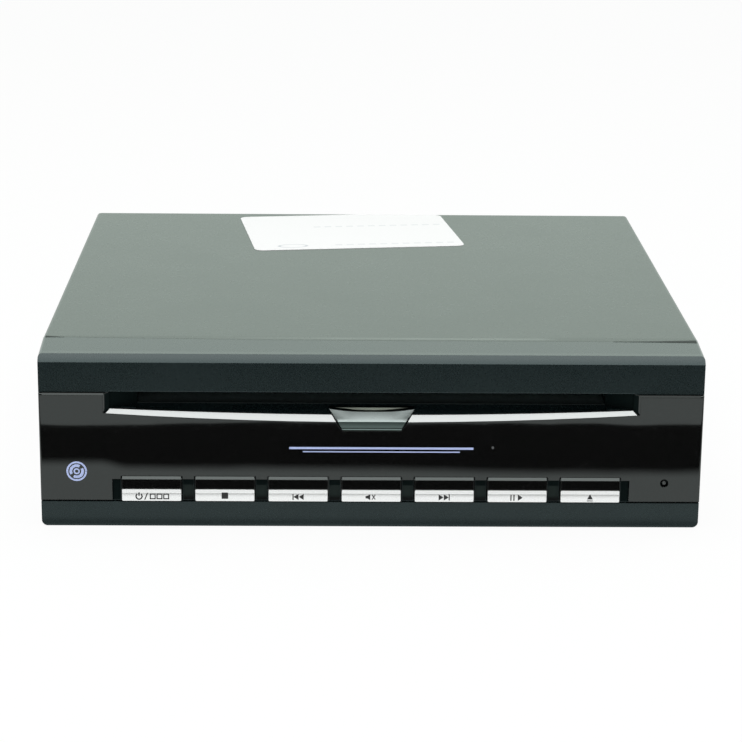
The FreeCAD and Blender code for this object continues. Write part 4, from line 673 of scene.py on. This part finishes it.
# %% Label stock
label_low, label_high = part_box("top_label")
LABEL_CENTRE = (-4.57 * MM, 58.4 * MM, label_low.z)
LABEL_TURN = np.radians(7.5)
LABEL_HALF = (33.45 * MM, 25.0 * MM)
LABEL_CORNER = 2.6 * MM
LABEL_DIP = 0.04 * MM
DASH_ROWS = ((6.9 * MM, 9.9 * MM, 20.9 * MM), (-19.8 * MM, 11.3 * MM, 19.3 * MM))
DASH_PITCH = 3.6 * MM
RING_PLACE = (-21.0 * MM, -20.0 * MM)
RING_RADIUS = 2.2 * MM
RING_FLAT = 0.5
DASH_INK, RING_INK = 0.3, 0.6


def label_stock():
    recipe = new_recipe("label_paper")
    sockets = {"Vector": recipe.place(), "Location": LABEL_CENTRE, "Rotation": (0.0, 0.0, LABEL_TURN)}
    recipe.coordinates = recipe.node("ShaderNodeMapping", {"vector_type": "TEXTURE"}, sockets)
    fibre = recipe.noise(1400.0, 3.0)
    across, up = recipe.along("X"), recipe.along("Y")
    dash = recipe.span(recipe.single("SINE", 2 * np.pi / DASH_PITCH * across), -0.5, -0.2)
    rows = [recipe.line(across, middle, half, 0.3 * MM) * recipe.line(up, height, 0.45 * MM, 0.4 * MM)
            for height, middle, half in DASH_ROWS]
    ends = {0: recipe.stretched((RING_FLAT, 1.0, 0.0)), 1: (RING_FLAT * RING_PLACE[0], RING_PLACE[1], 0.0)}
    reach = recipe.node("ShaderNodeVectorMath", {"operation": "DISTANCE"}, ends, "Value")
    ring = recipe.line(reach, RING_RADIUS, 0.10 * MM, 0.25 * MM)
    ink = DASH_INK * dash * (rows[0] + rows[1]) + RING_INK * ring
    stock = recipe.blend(fibre, (0.73, 0.70, 0.72), (0.77, 0.74, 0.76))
    return recipe.shade({
        "Base Color": recipe.blend(ink, stock, (0.34, 0.36, 0.40)),
        "Roughness": 0.55 + 0.15 * fibre,
        "Normal": recipe.bump(fibre, 0.006 * MM),
        "IOR": 1.45,
    })


finishes["label_paper"] = label_stock()

# %% [markdown]
# Dressing the CAD nodes
# The packed record says which finish each CAD node has, so one loop dresses all of
# them. Naming every node by hand would work until one is renamed.

# %% Assign the finishes
for part in frame["record"]["subparts"]:
    for dressing in frame["nodes"][part["node"]].material_slots:
        dressing.material = finishes[part["material_slot"]]

# %% [markdown]
# Rounded sheets
# The label and the key plates are rectangles with rounded corners. A bevelled cube
# gives that outline, but no say over the face. Here an even grid has its corner
# squares drawn in to quarter discs, and the distance from the edge comes with it,
# so that a formula can round the rim or crease the face.

# %% Rounded grid


def pad_lines(half, corner, middle):
    """Distances across a sheet: six close steps in each corner and even ones between them."""
    edge = np.linspace(half - corner, half, 7)
    inner = np.linspace(corner - half, half - corner, middle + 1)[1:-1]
    return np.concatenate([-edge[::-1], inner, edge])


def rounded_grid(half_width, half_height, corner, middle):
    """x, y and inset over a rounded rectangle. In a corner square, a point is drawn in by its
    larger distance over its straight distance from the square's inner corner, which makes a
    quarter disc. inset is how far in from the edge a point lies, up to the corner radius."""
    lines = pad_lines(half_width, corner, middle[0]), pad_lines(half_height, corner, middle[1])
    x, y = np.meshgrid(*lines, indexing="ij")
    out_x = np.maximum(np.abs(x) - half_width + corner, 0.0)
    out_y = np.maximum(np.abs(y) - half_height + corner, 0.0)
    larger = np.maximum(out_x, out_y)
    drawn = larger / np.maximum(np.hypot(out_x, out_y), 1e-12)
    round_x = np.sign(x) * (np.abs(x) - out_x + out_x * drawn)
    round_y = np.sign(y) * (np.abs(y) - out_y + out_y * drawn)
    return round_x, round_y, corner - larger


def label_sheet():
    """A rounded grid turned about the label's centre. Its far side is drawn in where it would
    pass the edge of the cover: the distance from the near side is scaled to what is left. The
    top dips to the cover at the rim by the square of how far out of the inset a point is."""
    half_depth = LABEL_HALF[1]
    u, v, inset = rounded_grid(*LABEL_HALF, LABEL_CORNER, (30, 12))
    reach = (label_high.y - LABEL_CENTRE[1] - u * np.sin(LABEL_TURN)) / np.cos(LABEL_TURN)
    v = (v + half_depth) * (np.minimum(reach, half_depth) + half_depth) / (2 * half_depth) - half_depth
    x = LABEL_CENTRE[0] + u * np.cos(LABEL_TURN) - v * np.sin(LABEL_TURN)
    y = LABEL_CENTRE[1] + u * np.sin(LABEL_TURN) + v * np.cos(LABEL_TURN)
    dip = LABEL_DIP * (1.0 - np.minimum(inset / LABEL_CORNER, 1.0)) ** 2
    return backed(x, y, label_high.z - dip, 2, label_low.z)


add_piece("label_sheet", label_sheet(), finishes["label_paper"],
          replaces=["top_label"])

# %% [markdown]
# Key plates
# Each key wears a thin silver plate. It isn't flat: the lower part stands upright,
# the part above curls back more and more, and the top edge is upright again. Each
# of the three mirrors another part of the floor, so the plate shows a white, a grey
# and a white stripe. The face is one height formula over a rounded grid.

# %% Plates
KEYS = ("power", "stop", "previous", "mute", "next", "play_pause", "eject")
plate_low, plate_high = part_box("key_plate_mute")
PLATE_SETBACK = 0.05 * MM
PLATE_SIDE_ROOM = 0.12 * MM
PLATE_FOOT_ROOM = 0.11 * MM
PLATE_CREASE = 1.25 * MM
PLATE_SHOULDER = 2.35 * MM
PLATE_LEAN = np.tan(np.radians(4.8))
PLATE_RIM = 0.12 * MM
PLATE_RIM_SINK = 0.6
PLATE_CORNER = 0.35 * MM


def plate_face(z):
    """Depth of a plate's face at height z: upright to the crease, then back by half the square of
    the height above it, so that its slope reaches the lean at the shoulder, then upright."""
    rise = PLATE_SHOULDER - PLATE_CREASE
    above = np.clip(z - plate_low.z - PLATE_CREASE, 0.0, rise)
    return plate_low.y + PLATE_SETBACK + above**2 / (2 * rise) * PLATE_LEAN


def plate_shape(centre_x):
    """The face formula over a rounded grid, with the rim turned back as a quarter of an ellipse."""
    half_width = (plate_high.x - plate_low.x) / 2 - PLATE_SIDE_ROOM
    half_height = (plate_high.z - plate_low.z - PLATE_FOOT_ROOM) / 2
    x, z, inset = rounded_grid(half_width, half_height, PLATE_CORNER, (12, 40))
    height = z + plate_high.z - half_height
    short = 1.0 - np.minimum(inset / PLATE_RIM, 1.0)
    rim = PLATE_RIM * (1.0 - np.sqrt(1.0 - short**2)) * PLATE_RIM_SINK
    depth = np.minimum(plate_face(height) + rim, plate_high.y)
    return backed(x + centre_x, depth, height, 1, plate_high.y)


key_centres = {key: sum(corner.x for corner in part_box("key_plate_" + key)) / 2 for key in KEYS}
for key in KEYS:
    frame["nodes"]["key_" + key].material_slots[0].material = key_gloss
    add_piece("plate_" + key, plate_shape(key_centres[key]), finishes["plate_silver"], "key_" + key,
              ["key_plate_" + key], crease=12)

# %% [markdown]
# Key caps
# Over its plate, each key has a gloss cap: a face that leans back a little, and a
# bright bevel that ends level with the panel, so that no gap shows above the key.
# The cap is a profile carried along the key. It could be cut from a block, but a
# profile needs only four corners.

# %% Caps
FLANGE_REACH = 0.6 * MM
CAP_ROOM = 0.03 * MM
CAP_BEVEL = 0.72 * MM
CAP_LEAN = np.tan(np.radians(7.5))
CAP_BACK = 0.2 * MM
cap_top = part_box("key_mute")[1].z - FLANGE_REACH + CAP_ROOM
cap_rise = cap_top - CAP_BEVEL - plate_high.z
cap_foot = plate_low.y + CAP_ROOM
bevel_foot = cap_foot + cap_rise * CAP_LEAN
CAP_DEPTHS = np.array([cap_foot, bevel_foot, panel_front - CAP_ROOM, panel_front + CAP_BACK / 2])
CAP_HEIGHTS = np.array([plate_high.z + CAP_ROOM, cap_top - CAP_BEVEL, cap_top, cap_top])


def cap_shape(centre_x):
    """Straight runs between the corners of the profile, carried along the key. The back stands
    upright, a little behind the panel's front."""
    half = (plate_high.x - plate_low.x) / 2 - PLATE_SIDE_ROOM
    run = np.linspace(0, 3, 19)
    y, z = (np.interp(run, np.arange(4), c)[None, :] for c in (CAP_DEPTHS, CAP_HEIGHTS))
    x = centre_x + np.linspace(-half, half, 25)[:, None]
    return backed(x, y, z, 1, panel_front + CAP_BACK)


for key in KEYS:
    add_piece("cap_" + key, cap_shape(key_centres[key]), key_gloss, "key_" + key, crease=12)

# %% [markdown]
# Printed marks
# The keys carry the usual signs for a disc player, printed in dark ink. Text
# objects could draw some of them, but a few patches are simpler: four corners
# filled in give bars and arrows, and a radius with an angle gives rings. Each patch
# lies on the face formula of its plate, a hair above it.

# %% Marks
MARK_CENTRE_Z = 8.90 * MM
INK_LIFT = 0.02 * MM
INK_SINK = 0.03 * MM


def patch(corners, steps=6):
    """Four corners filled in: the point at u, v mixes them by u across and v up."""
    a, b, c, d = np.asarray(corners, float) * MM
    u = np.linspace(0.0, 1.0, steps + 1)[:, None, None]
    v = np.linspace(0.0, 1.0, steps + 1)[None, :, None]
    return (1 - u) * (1 - v) * a + u * (1 - v) * b + u * v * c + (1 - u) * v * d


def bar(x0, x1, z0, z1):
    return patch([(x0, z0), (x1, z0), (x1, z1), (x0, z1)])


def arrow(base, tip, half):
    """A bar whose far end is nearly a point."""
    return patch([(base, -half), (tip, -0.04), (tip, 0.04), (base, half)])


def arc(inner, outer, start, end, steps=40):
    """Part of a ring: radius from inner to outer, angle from start to end in degrees."""
    radius = np.linspace(inner, outer, 3)[None, :] * MM
    angle = np.radians(np.linspace(start, end, steps + 1))[:, None]
    return np.stack([radius * np.cos(angle), radius * np.sin(angle)], axis=-1)


def moved(flat, x, z):
    """The same patch somewhere else."""
    return flat + np.array([x, z]) * MM


def square(x, half, stroke):
    """Four bars round a square, at x across."""
    spans = [(-half, half, half - stroke, half), (-half, half, -half, stroke - half),
             (-half, stroke - half, -half, half), (half - stroke, half, -half, half)]
    return [bar(x + left, x + right, low, high) for left, right, low, high in spans]


def inked(patches, centre_x, centre_z, face):
    """Each flat patch laid on a face: its front a hair before it and its back a hair behind."""
    shapes = []
    for flat in patches:
        x, z = flat[..., 0] + centre_x, flat[..., 1] + centre_z
        shapes.append(backed(x, face(z) - INK_LIFT, z, 1, face(z) + INK_SINK))
    return joined(shapes)


def ink(name, dark, light):
    recipe = new_recipe(name)
    grain = recipe.noise(6000.0, 2.0)
    return recipe.shade({
        "Base Color": recipe.blend(grain, dark, light),
        "Roughness": 0.50 + 0.15 * grain,
        "Normal": recipe.bump(grain, 0.003 * MM),
    })


MARKS = {
    "power": [moved(arc(0.62, 0.98, 125, 415), -3.35, 0.0),
              moved(bar(-0.18, 0.18, 0.15, 1.12), -3.35, 0.0),
              patch([(-2.00, -0.95), (-1.68, -0.95), (-0.93, 1.0), (-1.25, 1.0)]),
              *square(0.3, 0.80, 0.31), *square(2.1, 0.80, 0.31), *square(3.9, 0.80, 0.31)],
    "stop": [bar(-0.88, 0.88, -0.60, 1.15)],
    "previous": [bar(-1.50, -1.20, -0.85, 0.85), arrow(0.12, -1.15, 0.85), arrow(1.50, 0.23, 0.85)],
    "mute": [bar(-1.50, -1.05, -0.36, 0.36),
             patch([(-1.05, -0.34), (-0.25, -0.85), (-0.25, 0.85), (-1.05, 0.34)]),
             patch([(0.12, -0.62), (0.36, -0.70), (1.20, 0.62), (0.96, 0.70)]),
             patch([(0.12, 0.62), (0.36, 0.70), (1.20, -0.62), (0.96, -0.70)])],
    "next": [bar(1.20, 1.50, -0.85, 0.85), arrow(-0.12, 1.15, 0.85), arrow(-1.50, -0.23, 0.85)],
    "play_pause": [bar(-1.83, -1.50, -0.85, 0.85), bar(-1.02, -0.69, -0.85, 0.85),
                   arrow(0.19, 1.42, 0.88)],
    "eject": [patch([(-0.8, -0.4), (0.8, -0.4), (0.04, 0.95), (-0.04, 0.95)]),
              bar(-0.8, 0.8, -0.95, -0.72)],
}
key_ink = ink("key_ink", (0.015, 0.016, 0.016), (0.028, 0.029, 0.029))
for key in KEYS:
    shape = inked(MARKS[key], key_centres[key], MARK_CENTRE_Z, plate_face)
    add_piece("mark_" + key, shape, key_ink, "key_" + key)

# %% [markdown]
# Prints on the panel
# The panel has two plain decorations in lavender ink: the sign of a disc at its
# lower left corner and a fine double line across the middle. They are made as the
# marks are, on the flat front of the panel.

# %% Panel prints
DISC_SIGN_PLACE = (-78.75 * MM, 15.60 * MM)
STRIPE_PLACE = (2.6 * MM, 21.95 * MM)


def flat_at(depth):
    """A flat face: the same depth at every height."""
    return lambda z: np.full_like(z, depth)


panel_ink = ink("panel_ink", (0.42, 0.49, 0.80), (0.48, 0.55, 0.86))
disc_sign = [arc(2.25, 2.75, 0, 358), arc(0.45, 0.85, 0, 357, 24), arc(1.20, 1.95, 60, 210, 24),
             arc(1.20, 1.95, 240, 390, 24)]
add_piece("panel_disc_sign", inked(disc_sign, *DISC_SIGN_PLACE, flat_at(panel_front)), panel_ink)
stripes = [bar(-24.6, 24.6, 0.10, 0.70), bar(-21.0, 21.0, -0.75, -0.45)]
add_piece("panel_stripes", inked(stripes, *STRIPE_PLACE, flat_at(panel_front)), panel_ink)

# %% [markdown]
# The thumb scoop
# In the middle of the slot a small tongue lets a thumb reach the disc. From the
# foot up it has a bright edge, a groove, a steep face, a long slope, a ledge, and a
# lip shaped like a crescent. It is one profile carried across, where the ledge and
# the lip rise towards the sides. A loft between sketches would do the same in CAD.

# %% Scoop
scoop_low, scoop_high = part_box("thumb_scoop")
SIDE_HEIGHTS = np.array([0.22, 2.42, 5.40]) * MM
SIDE_HALVES = np.array([7.86, 9.13, 11.38]) * MM
SCOOP_DEPTHS = np.array([0.0, 0.25, 0.70, 0.70, 0.40, 0.42, 0.55, 2.35, 3.60, 3.62, 4.10, 4.20]) * MM
SCOOP_HEIGHTS = np.array([0.22, 0.46, 0.50, 0.60, 0.64, 2.36, 2.48, 4.58, 4.60, 4.70, 5.22, 5.40]) * MM
LEDGE_RISE = 0.80 * MM
LIP_RISE = 0.52 * MM
LIP_SHARE = 0.83
LIP_HALF = 9.6 * MM
LIP_RUN = 0.48 * MM
GROOVE_TOP = 0.48 * MM
STEEP_FOOT, STEEP_TOP = 0.64 * MM, 2.36 * MM
SLOPE_FOOT, SLOPE_TOP = 2.40 * MM, 4.60 * MM
BRIM_FOOT = 5.22 * MM
LEDGE_FRONT, LIP_FRONT = 2.36 * MM, 3.60 * MM
# Painted shade: how dark the foot and the groove of the scoop are painted.
FOOT_PAINTED_SHADE = 0.09


def scoop_shape():
    """Depth and height along the profile are straight runs between corners. The two corners of
    the ledge rise with the cube of the share across, and the foot of the lip with its square,
    until it meets the brim. The half width grows in two even runs, faster above the steep face."""
    corners = np.arange(len(SCOOP_DEPTHS))
    run = np.linspace(0, corners[-1], 4 * corners[-1] + 1)
    across = np.linspace(-1.0, 1.0, 61)[:, None]
    cube = np.abs(across) ** 3
    lip_rise = LIP_RISE * np.minimum((across / LIP_SHARE) ** 2, 1.0)
    heights = SCOOP_HEIGHTS + LEDGE_RISE * cube * np.isin(corners, (7, 8)) + lip_rise * (corners == 9)
    first = np.minimum(run.astype(int), corners[-2])
    part = run - first
    z = scoop_low.z + heights[:, first] * (1.0 - part) + heights[:, first + 1] * part
    y = scoop_low.y + np.interp(run, corners, SCOOP_DEPTHS)
    x = across * np.interp(z - scoop_low.z, SIDE_HEIGHTS, SIDE_HALVES)
    return backed(x, y, z, 1, scoop_high.y)


def scoop_finish():
    """Satin metal painted with light and shade: each face lighter towards its foot, the slope paler
    towards the sides, the foot and groove dark; a black ledge painted as the shade under the lip;
    and a lip of grey-green plastic without the metal film, painted pale as a reflection."""
    recipe = new_recipe("scoop_metal")
    streak = recipe.noise(1.0, 3.0, (120.0, 2200.0, 2200.0))
    height = recipe.along("Z") - scoop_low.z
    depth = recipe.along("Y") - scoop_low.y
    side = recipe.single("ABSOLUTE", recipe.along("X"))
    # Painted light and shade on the metal film: the steep face and the slope are painted lighter towards
    # their feet, the slope paler towards the sides, and below the groove's top the film is painted dark.
    steep = recipe.span(height, STEEP_FOOT, STEEP_TOP, 0.36, 0.155)
    ends = recipe.span(side, 5 * MM, 11.5 * MM) * recipe.span(height, SLOPE_FOOT, SLOPE_TOP, 0.35, 1.4)
    slope = recipe.span(height, SLOPE_FOOT, SLOPE_TOP, 0.24, 0.12) * (1.0 + ends)
    upper = recipe.span(height, STEEP_TOP, STEEP_TOP + 0.08 * MM)
    above = recipe.span(height, GROOVE_TOP, GROOVE_TOP + 0.06 * MM)
    glow = FOOT_PAINTED_SHADE + above * (steep + upper * (slope - steep) - FOOT_PAINTED_SHADE)
    tint = recipe.blend(upper, (0.74, 1.0, 0.94), (0.88, 1.0, 0.975))
    film = recipe.blend(glow * (0.92 + 0.16 * streak), (0.0, 0.0, 0.0), tint)
    # The ledge is painted black: painted shade under the lip.
    ledge = recipe.span(depth, LEDGE_FRONT, LEDGE_FRONT + 0.12 * MM)
    dark = recipe.blend(ledge, film, (0.006, 0.007, 0.007))
    # The lip is painted pale and not metal: a painted reflection.
    taper = LIP_RUN * side.sum_of("POWER", side * (1.0 / LIP_HALF), 4.0)
    under_brim = recipe.span(height, BRIM_FOOT, BRIM_FOOT + 0.04 * MM, 1.0, 0.0)
    lip = recipe.span(depth - taper, LIP_FRONT, LIP_FRONT + 0.06 * MM) * under_brim
    return recipe.shade({
        "Base Color": recipe.blend(lip, dark, (0.42, 0.46, 0.39)),
        "Metallic": 1.0 - lip,
        "Roughness": 0.24 + 0.10 * streak + 0.25 * lip,
        "Normal": recipe.bump(streak, 0.002 * MM),
    })


add_piece("scoop_tongue", scoop_shape(), scoop_finish(),
          replaces=["thumb_scoop"], crease=14)

# %% [markdown]
# Felt in the slot
# Two strips of felt wipe the dust off a disc on its way in. A flat box would look
# like card, so the face of each strip is raised and sunk by a sum of sine waves in
# both directions, which stands for tufts, and the material adds the fibres.

# %% Felt strips
felt_low, felt_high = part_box("slot_felt")
FELT_THICKNESS = 0.25 * MM
TUFT_HEIGHT = 0.04 * MM


def felt_strip(glued, face):
    """A level grid at the glued height, and one at the face, set back from it by tufts: the mean
    of sines of x, of y and of their sum, from 0 to the tuft height."""
    x = np.linspace(felt_low.x, felt_high.x, 180)[:, None]
    y = np.linspace(felt_low.y, felt_high.y, 24)[None, :]
    u, v = x / MM, y / MM
    waves = np.sin(3.1 * u) + np.sin(4.3 * v + 0.7 * np.sin(u)) + np.sin(2.3 * u + 3.7 * v)
    tufts = TUFT_HEIGHT * (waves / 6.0 + 0.5)
    return backed(x, y, face + np.sign(glued - face) * tufts, 2, glued)


strips = {
    "felt_lower": (felt_low.z, felt_low.z + FELT_THICKNESS),
    "felt_upper": (felt_high.z, felt_high.z - FELT_THICKNESS),
}
for name, (glued, face) in strips.items():
    strip = add_piece(name, felt_strip(glued, face), finishes["felt"], replaces=["slot_felt"])

# %% [markdown]
# Cheeks of the slot
# Where the slot narrows to the throat, a strip of near-black felt lines each side, so the
# opening is black from end to end: a lining, painted near black as shade. It is a path seen
# from above, carried up the height of the slot. A curve with an extrusion would do too, but it has no
# ends.

# %% Cheeks
CHEEK_PATH = np.array([(71.05, -92.95), (69.92, -91.85), (69.92, -90.90), (62.92, -86.60)]) * MM
CHEEK_THICKNESS = 0.08 * MM
CHEEK_FOOT, CHEEK_TOP = felt_low.z - 0.8 * MM, felt_high.z - 0.3 * MM


def cheek(side):
    """Points along the path by straight runs, at heights up the slot. The back lies a little
    further out from the middle than the front."""
    run = np.linspace(0, len(CHEEK_PATH) - 1, 19)
    x, y = (np.interp(run, np.arange(len(CHEEK_PATH)), c)[:, None] for c in CHEEK_PATH.T)
    z = np.linspace(CHEEK_FOOT, CHEEK_TOP, 9)[None, :]
    return backed(side * (x - CHEEK_THICKNESS), y, z, 0, side * x)


# Near-black felt: painted shade at the ends of the slot.
for name, side in (("cheek_left", -1.0), ("cheek_right", 1.0)):
    add_piece(name, cheek(side), painted_shade_nap)

# %% [markdown]
# The bay between the keys
# Between the keys the panel is cut away, and one looks at a matte strip. Over it lies a thin
# near-black strip, painted shade under the edge of the panel, and both ends of the bay are
# near-black patches of painted shade too. The strips are flat patches, like the marks, laid on
# the wall behind the keys.

# %% Bay
fascia_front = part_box("fascia_frame")[0].y
BAY_FOOT = 7.45 * MM
# Foot of the near-black strip of painted shade under the panel's edge.
SHADE_FOOT = 11.7 * MM
BAY_TOP = 13.35 * MM
BAY_END = 69.2 * MM
KEY_ROOM = 0.35 * MM
# Heights over which the painted shade at the foot of the bay strips fades out.
BAY_SHADE_FADE = (7.9 * MM, 9.3 * MM)
key_half = (plate_high.x - plate_low.x) / 2 + KEY_ROOM


def bay_patches(low, high):
    """One bar for each gap in the row of keys, from one key's right side to the next key's left."""
    centres = np.array(sorted(key_centres.values()))
    lefts = np.concatenate([[-BAY_END], centres + key_half]) / MM
    rights = np.concatenate([centres - key_half, [BAY_END]]) / MM
    return [bar(left, right, low / MM, high / MM) for left, right in zip(lefts, rights)]


def bay_matte():
    """A matte moulding, painted darker towards its foot: painted shade low in the recess between the keys.
    """
    recipe = new_recipe("bay_matte")
    pits = recipe.noise(2200.0, 2.0)
    grain = recipe.blend(pits, (0.009, 0.015, 0.014), (0.015, 0.023, 0.021))
    painted_light_share = recipe.span(recipe.along("Z"), *BAY_SHADE_FADE)
    return recipe.shade({
        "Base Color": recipe.blend(painted_light_share, (0.001, 0.002, 0.002), grain),
        "Roughness": 0.55 + 0.10 * pits,
        "Normal": recipe.bump(pits, 0.012 * MM),
        "IOR": 1.24,
    })


bay_wall = flat_at(fascia_front)
strips_shape = inked(bay_patches(BAY_FOOT, SHADE_FOOT)[1:-1], 0.0, 0.0, bay_wall)
add_piece("bay_strips", strips_shape, bay_matte())
# Near-black strips of painted shade under the panel's edge and at both ends of the bay.
shade_patches = bay_patches(SHADE_FOOT, BAY_TOP)[1:-1]
end_shade_patches = [bay_patches(BAY_FOOT, BAY_TOP)[index] for index in (0, -1)]
shade_shape = inked(shade_patches + end_shade_patches, 0.0, 0.0, bay_wall)
add_piece("bay_shade", shade_shape, painted_shade_nap)

# %% [markdown]
# The brow of the panel
# Over each end of the slot the panel stops under the top of the front, and its upper
# edge is cut at a slant that mirrors the lamp above. The CAD edge is round, so most
# of it mirrors the dark room. The slant is a profile carried along the edge.

# %% Brow
panel_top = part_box("gloss_panel")[1].z
BROW_RISE = 0.46 * MM
BROW_PROUD = 0.17 * MM
BROW_BACK = 0.62 * MM
BROW_SPAN = np.array([71.3, 87.5]) * MM


def brow(side):
    """A slant of 45 degrees from just before the panel's front up to the height of the panel, then
    level to the back, which is upright."""
    x = side * np.linspace(*BROW_SPAN, 33)[:, None]
    depths = np.array([0.0, BROW_RISE / 2, BROW_RISE, BROW_BACK]) - BROW_PROUD
    y = panel_front + depths[None, :]
    z = panel_top - np.maximum(BROW_RISE - BROW_PROUD - depths, 0.0)[None, :]
    return backed(x, y, z, 1, panel_front + BROW_BACK)


# The right copy has a lower IOR, so its line of light is dimmer: a shaded copy of the same gloss.
for name, side, ior in (("brow_left", -1.0, 1.44), ("brow_right", 1.0, 1.31)):
    polish = gloss_black(name, 0.02 * MM, ior)
    add_piece(name, brow(side), polish, crease=12)

# %% [markdown]
# The hem of the cover
# The sheet of the cover laps over the slope of the front, a little further on the
# right, and a pale line along its edge in the middle is a painted highlight. A solid fold
# would need a bent sheet in the CAD, so here it is a thin strip whose reach is a formula.

# %% Hem
cover_low, cover_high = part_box("top_cover")
HEM_HALF = 87.9 * MM
HEM_MOST = 3.3 * MM
HEM_LESS = 2.2 * MM
HEM_TURN = 10 * MM
HEM_FADE = 98 * MM
HEM_LAP = 0.3 * MM
HEM_LIFT = 0.04 * MM
# Place, half width and softness of the painted highlight along the hem.
HEM_HIGHLIGHT_PLACE, HEM_HIGHLIGHT_HALF, HEM_HIGHLIGHT_SOFT = 1.45 * MM, 0.45 * MM, 0.7 * MM
FRONT_SLOPE = 0.031


def hem_reach(x):
    """How far the hem laps over the front: less to the left, by the square of the distance."""
    return HEM_MOST - HEM_LESS * np.clip((HEM_TURN - x) / HEM_FADE, 0.0, 1.0) ** 2


def on_front(ahead):
    """Height of the front's slope at a distance ahead of the cover: level, then falling evenly."""
    return cover_high.z - FRONT_SLOPE * np.maximum(ahead, 0.0)


def hem_shape():
    """A strip from behind the cover's edge to the reach of the hem, lifted off the slope by its
    thickness, which thins at the last step."""
    x = np.linspace(-HEM_HALF, HEM_HALF, 121)[:, None]
    share = np.linspace(0.0, 1.0, 9)[None, :]
    ahead = (HEM_LAP + hem_reach(x)) * share - HEM_LAP
    thick = np.where(share < 1.0, HEM_LIFT, 0.2 * HEM_LIFT)
    return backed(x, cover_low.y - ahead, on_front(ahead) + thick, 2, on_front(ahead))


def painted_hem_highlight(recipe, coat):
    """The colour of the coat, with a painted highlight: a pale line along the hem that fades to both
    sides.
    """
    across = recipe.line(recipe.along("Y"), cover_low.y - HEM_HIGHLIGHT_PLACE, HEM_HIGHLIGHT_HALF, HEM_HIGHLIGHT_SOFT)
    x = recipe.along("X")
    along = recipe.span(x, -60 * MM, 15 * MM) * recipe.span(x, 44 * MM, 52 * MM, 1.0, 0.0)
    patchy = 0.55 + 0.9 * recipe.noise(1.0, 2.0, (160.0, 700.0, 700.0))
    return recipe.blend(across * along * patchy, coat, (0.105, 0.118, 0.110))


# The hem's coat, with the painted highlight in its colour.
hem_paint = powder_coat("hem_paint", 0.01 * MM, painted_hem_highlight)
add_piece("cover_hem", hem_shape(), hem_paint)

# %% [markdown]
# Only near the ends does the joint open, and the opening lies in shade. Each end gets one
# thin grey wedge of painted shade. A real opening would need a bent cover, for a line of a
# millimetre or two.

# %% Seam shade
SEAM_SHADE_LIFT = 0.06 * MM
SEAM_SHADE_SPANS = {
    "seam_shade_left": (-83.0 * MM, -88.2 * MM, 0.7 * MM),
    "seam_shade_right": (65.0 * MM, 88.2 * MM, 1.15 * MM),
}


def seam_shade_wedge(tip, end, half):
    """A strip along the edge of the hem, a little behind it, whose half width grows from tip to end
    with the share of the way to the power of one and a half."""
    share = np.linspace(0.02, 1.0, 33)[:, None]
    x = tip + (end - tip) * share
    ahead = hem_reach(x) + half * share**1.5 * (np.linspace(-1.0, 1.0, 3)[None, :] - 0.35)
    return backed(x, cover_low.y - ahead, on_front(ahead) + SEAM_SHADE_LIFT, 2, on_front(ahead))


# A grey nap of painted shade, for the shaded opening of the joint.
seam_shade = felt_nap("seam_shade", ((0.045, 0.052, 0.048), (0.095, 0.105, 0.100)))
for name, (tip, end, half) in SEAM_SHADE_SPANS.items():
    add_piece(name, seam_shade_wedge(tip, end, half), seam_shade)

# %% [markdown]
# Jack inserts
# At the back, three sound and picture sockets each have a coloured collar round the
# hole, so that plugs go in the right ones. A collar is a small rounded profile
# turned about the socket's axis. Spin in edit mode does the same, with a seam to
# close afterwards, while a grid that wraps both ways has none.

# %% Collars
jack_low, jack_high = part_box("rear_jacks")
JACK_CENTRES = (27.0 * MM, 41.0 * MM, 55.0 * MM)
JACK_HEIGHT = (jack_low.z + jack_high.z) / 2
COLLAR_COLOURS = {"yellow": (0.72, 0.50, 0.03), "white": (0.75, 0.75, 0.73), "red": (0.50, 0.02, 0.02)}


def turned(radii, depths, centre_x, centre_z, steps=48):
    """A closed profile turned about an axis along Y: x and z are the centre plus the radius times
    the cosine and sine of the angle, and y is the profile's depth."""
    angle = np.linspace(0.0, 2 * np.pi, steps, endpoint=False)[None, :]
    radius = np.asarray(radii)[:, None]
    y = np.broadcast_to(np.asarray(depths)[:, None], (len(radii), steps))
    points = np.stack([centre_x + radius * np.cos(angle), y, centre_z + radius * np.sin(angle)], axis=-1)
    return points.reshape(-1, 3), grid_faces(len(radii), steps, wrap=True)


collar_radii = np.array([1.82, 1.82, 1.95, 2.85, 3.05, 3.10, 3.10]) * MM
collar_depths = jack_high.y + np.array([-1.0, 0.25, 0.40, 0.40, 0.32, 0.15, -1.0]) * MM
for (colour, paint), centre in zip(COLLAR_COLOURS.items(), JACK_CENTRES):
    plastic = moulding("collar_" + colour, tuple(0.85 * c for c in paint), paint, 0.35, 1200.0)
    add_piece("jack_collar_" + colour, turned(collar_radii, collar_depths, centre, JACK_HEIGHT), plastic)

# %% [markdown]
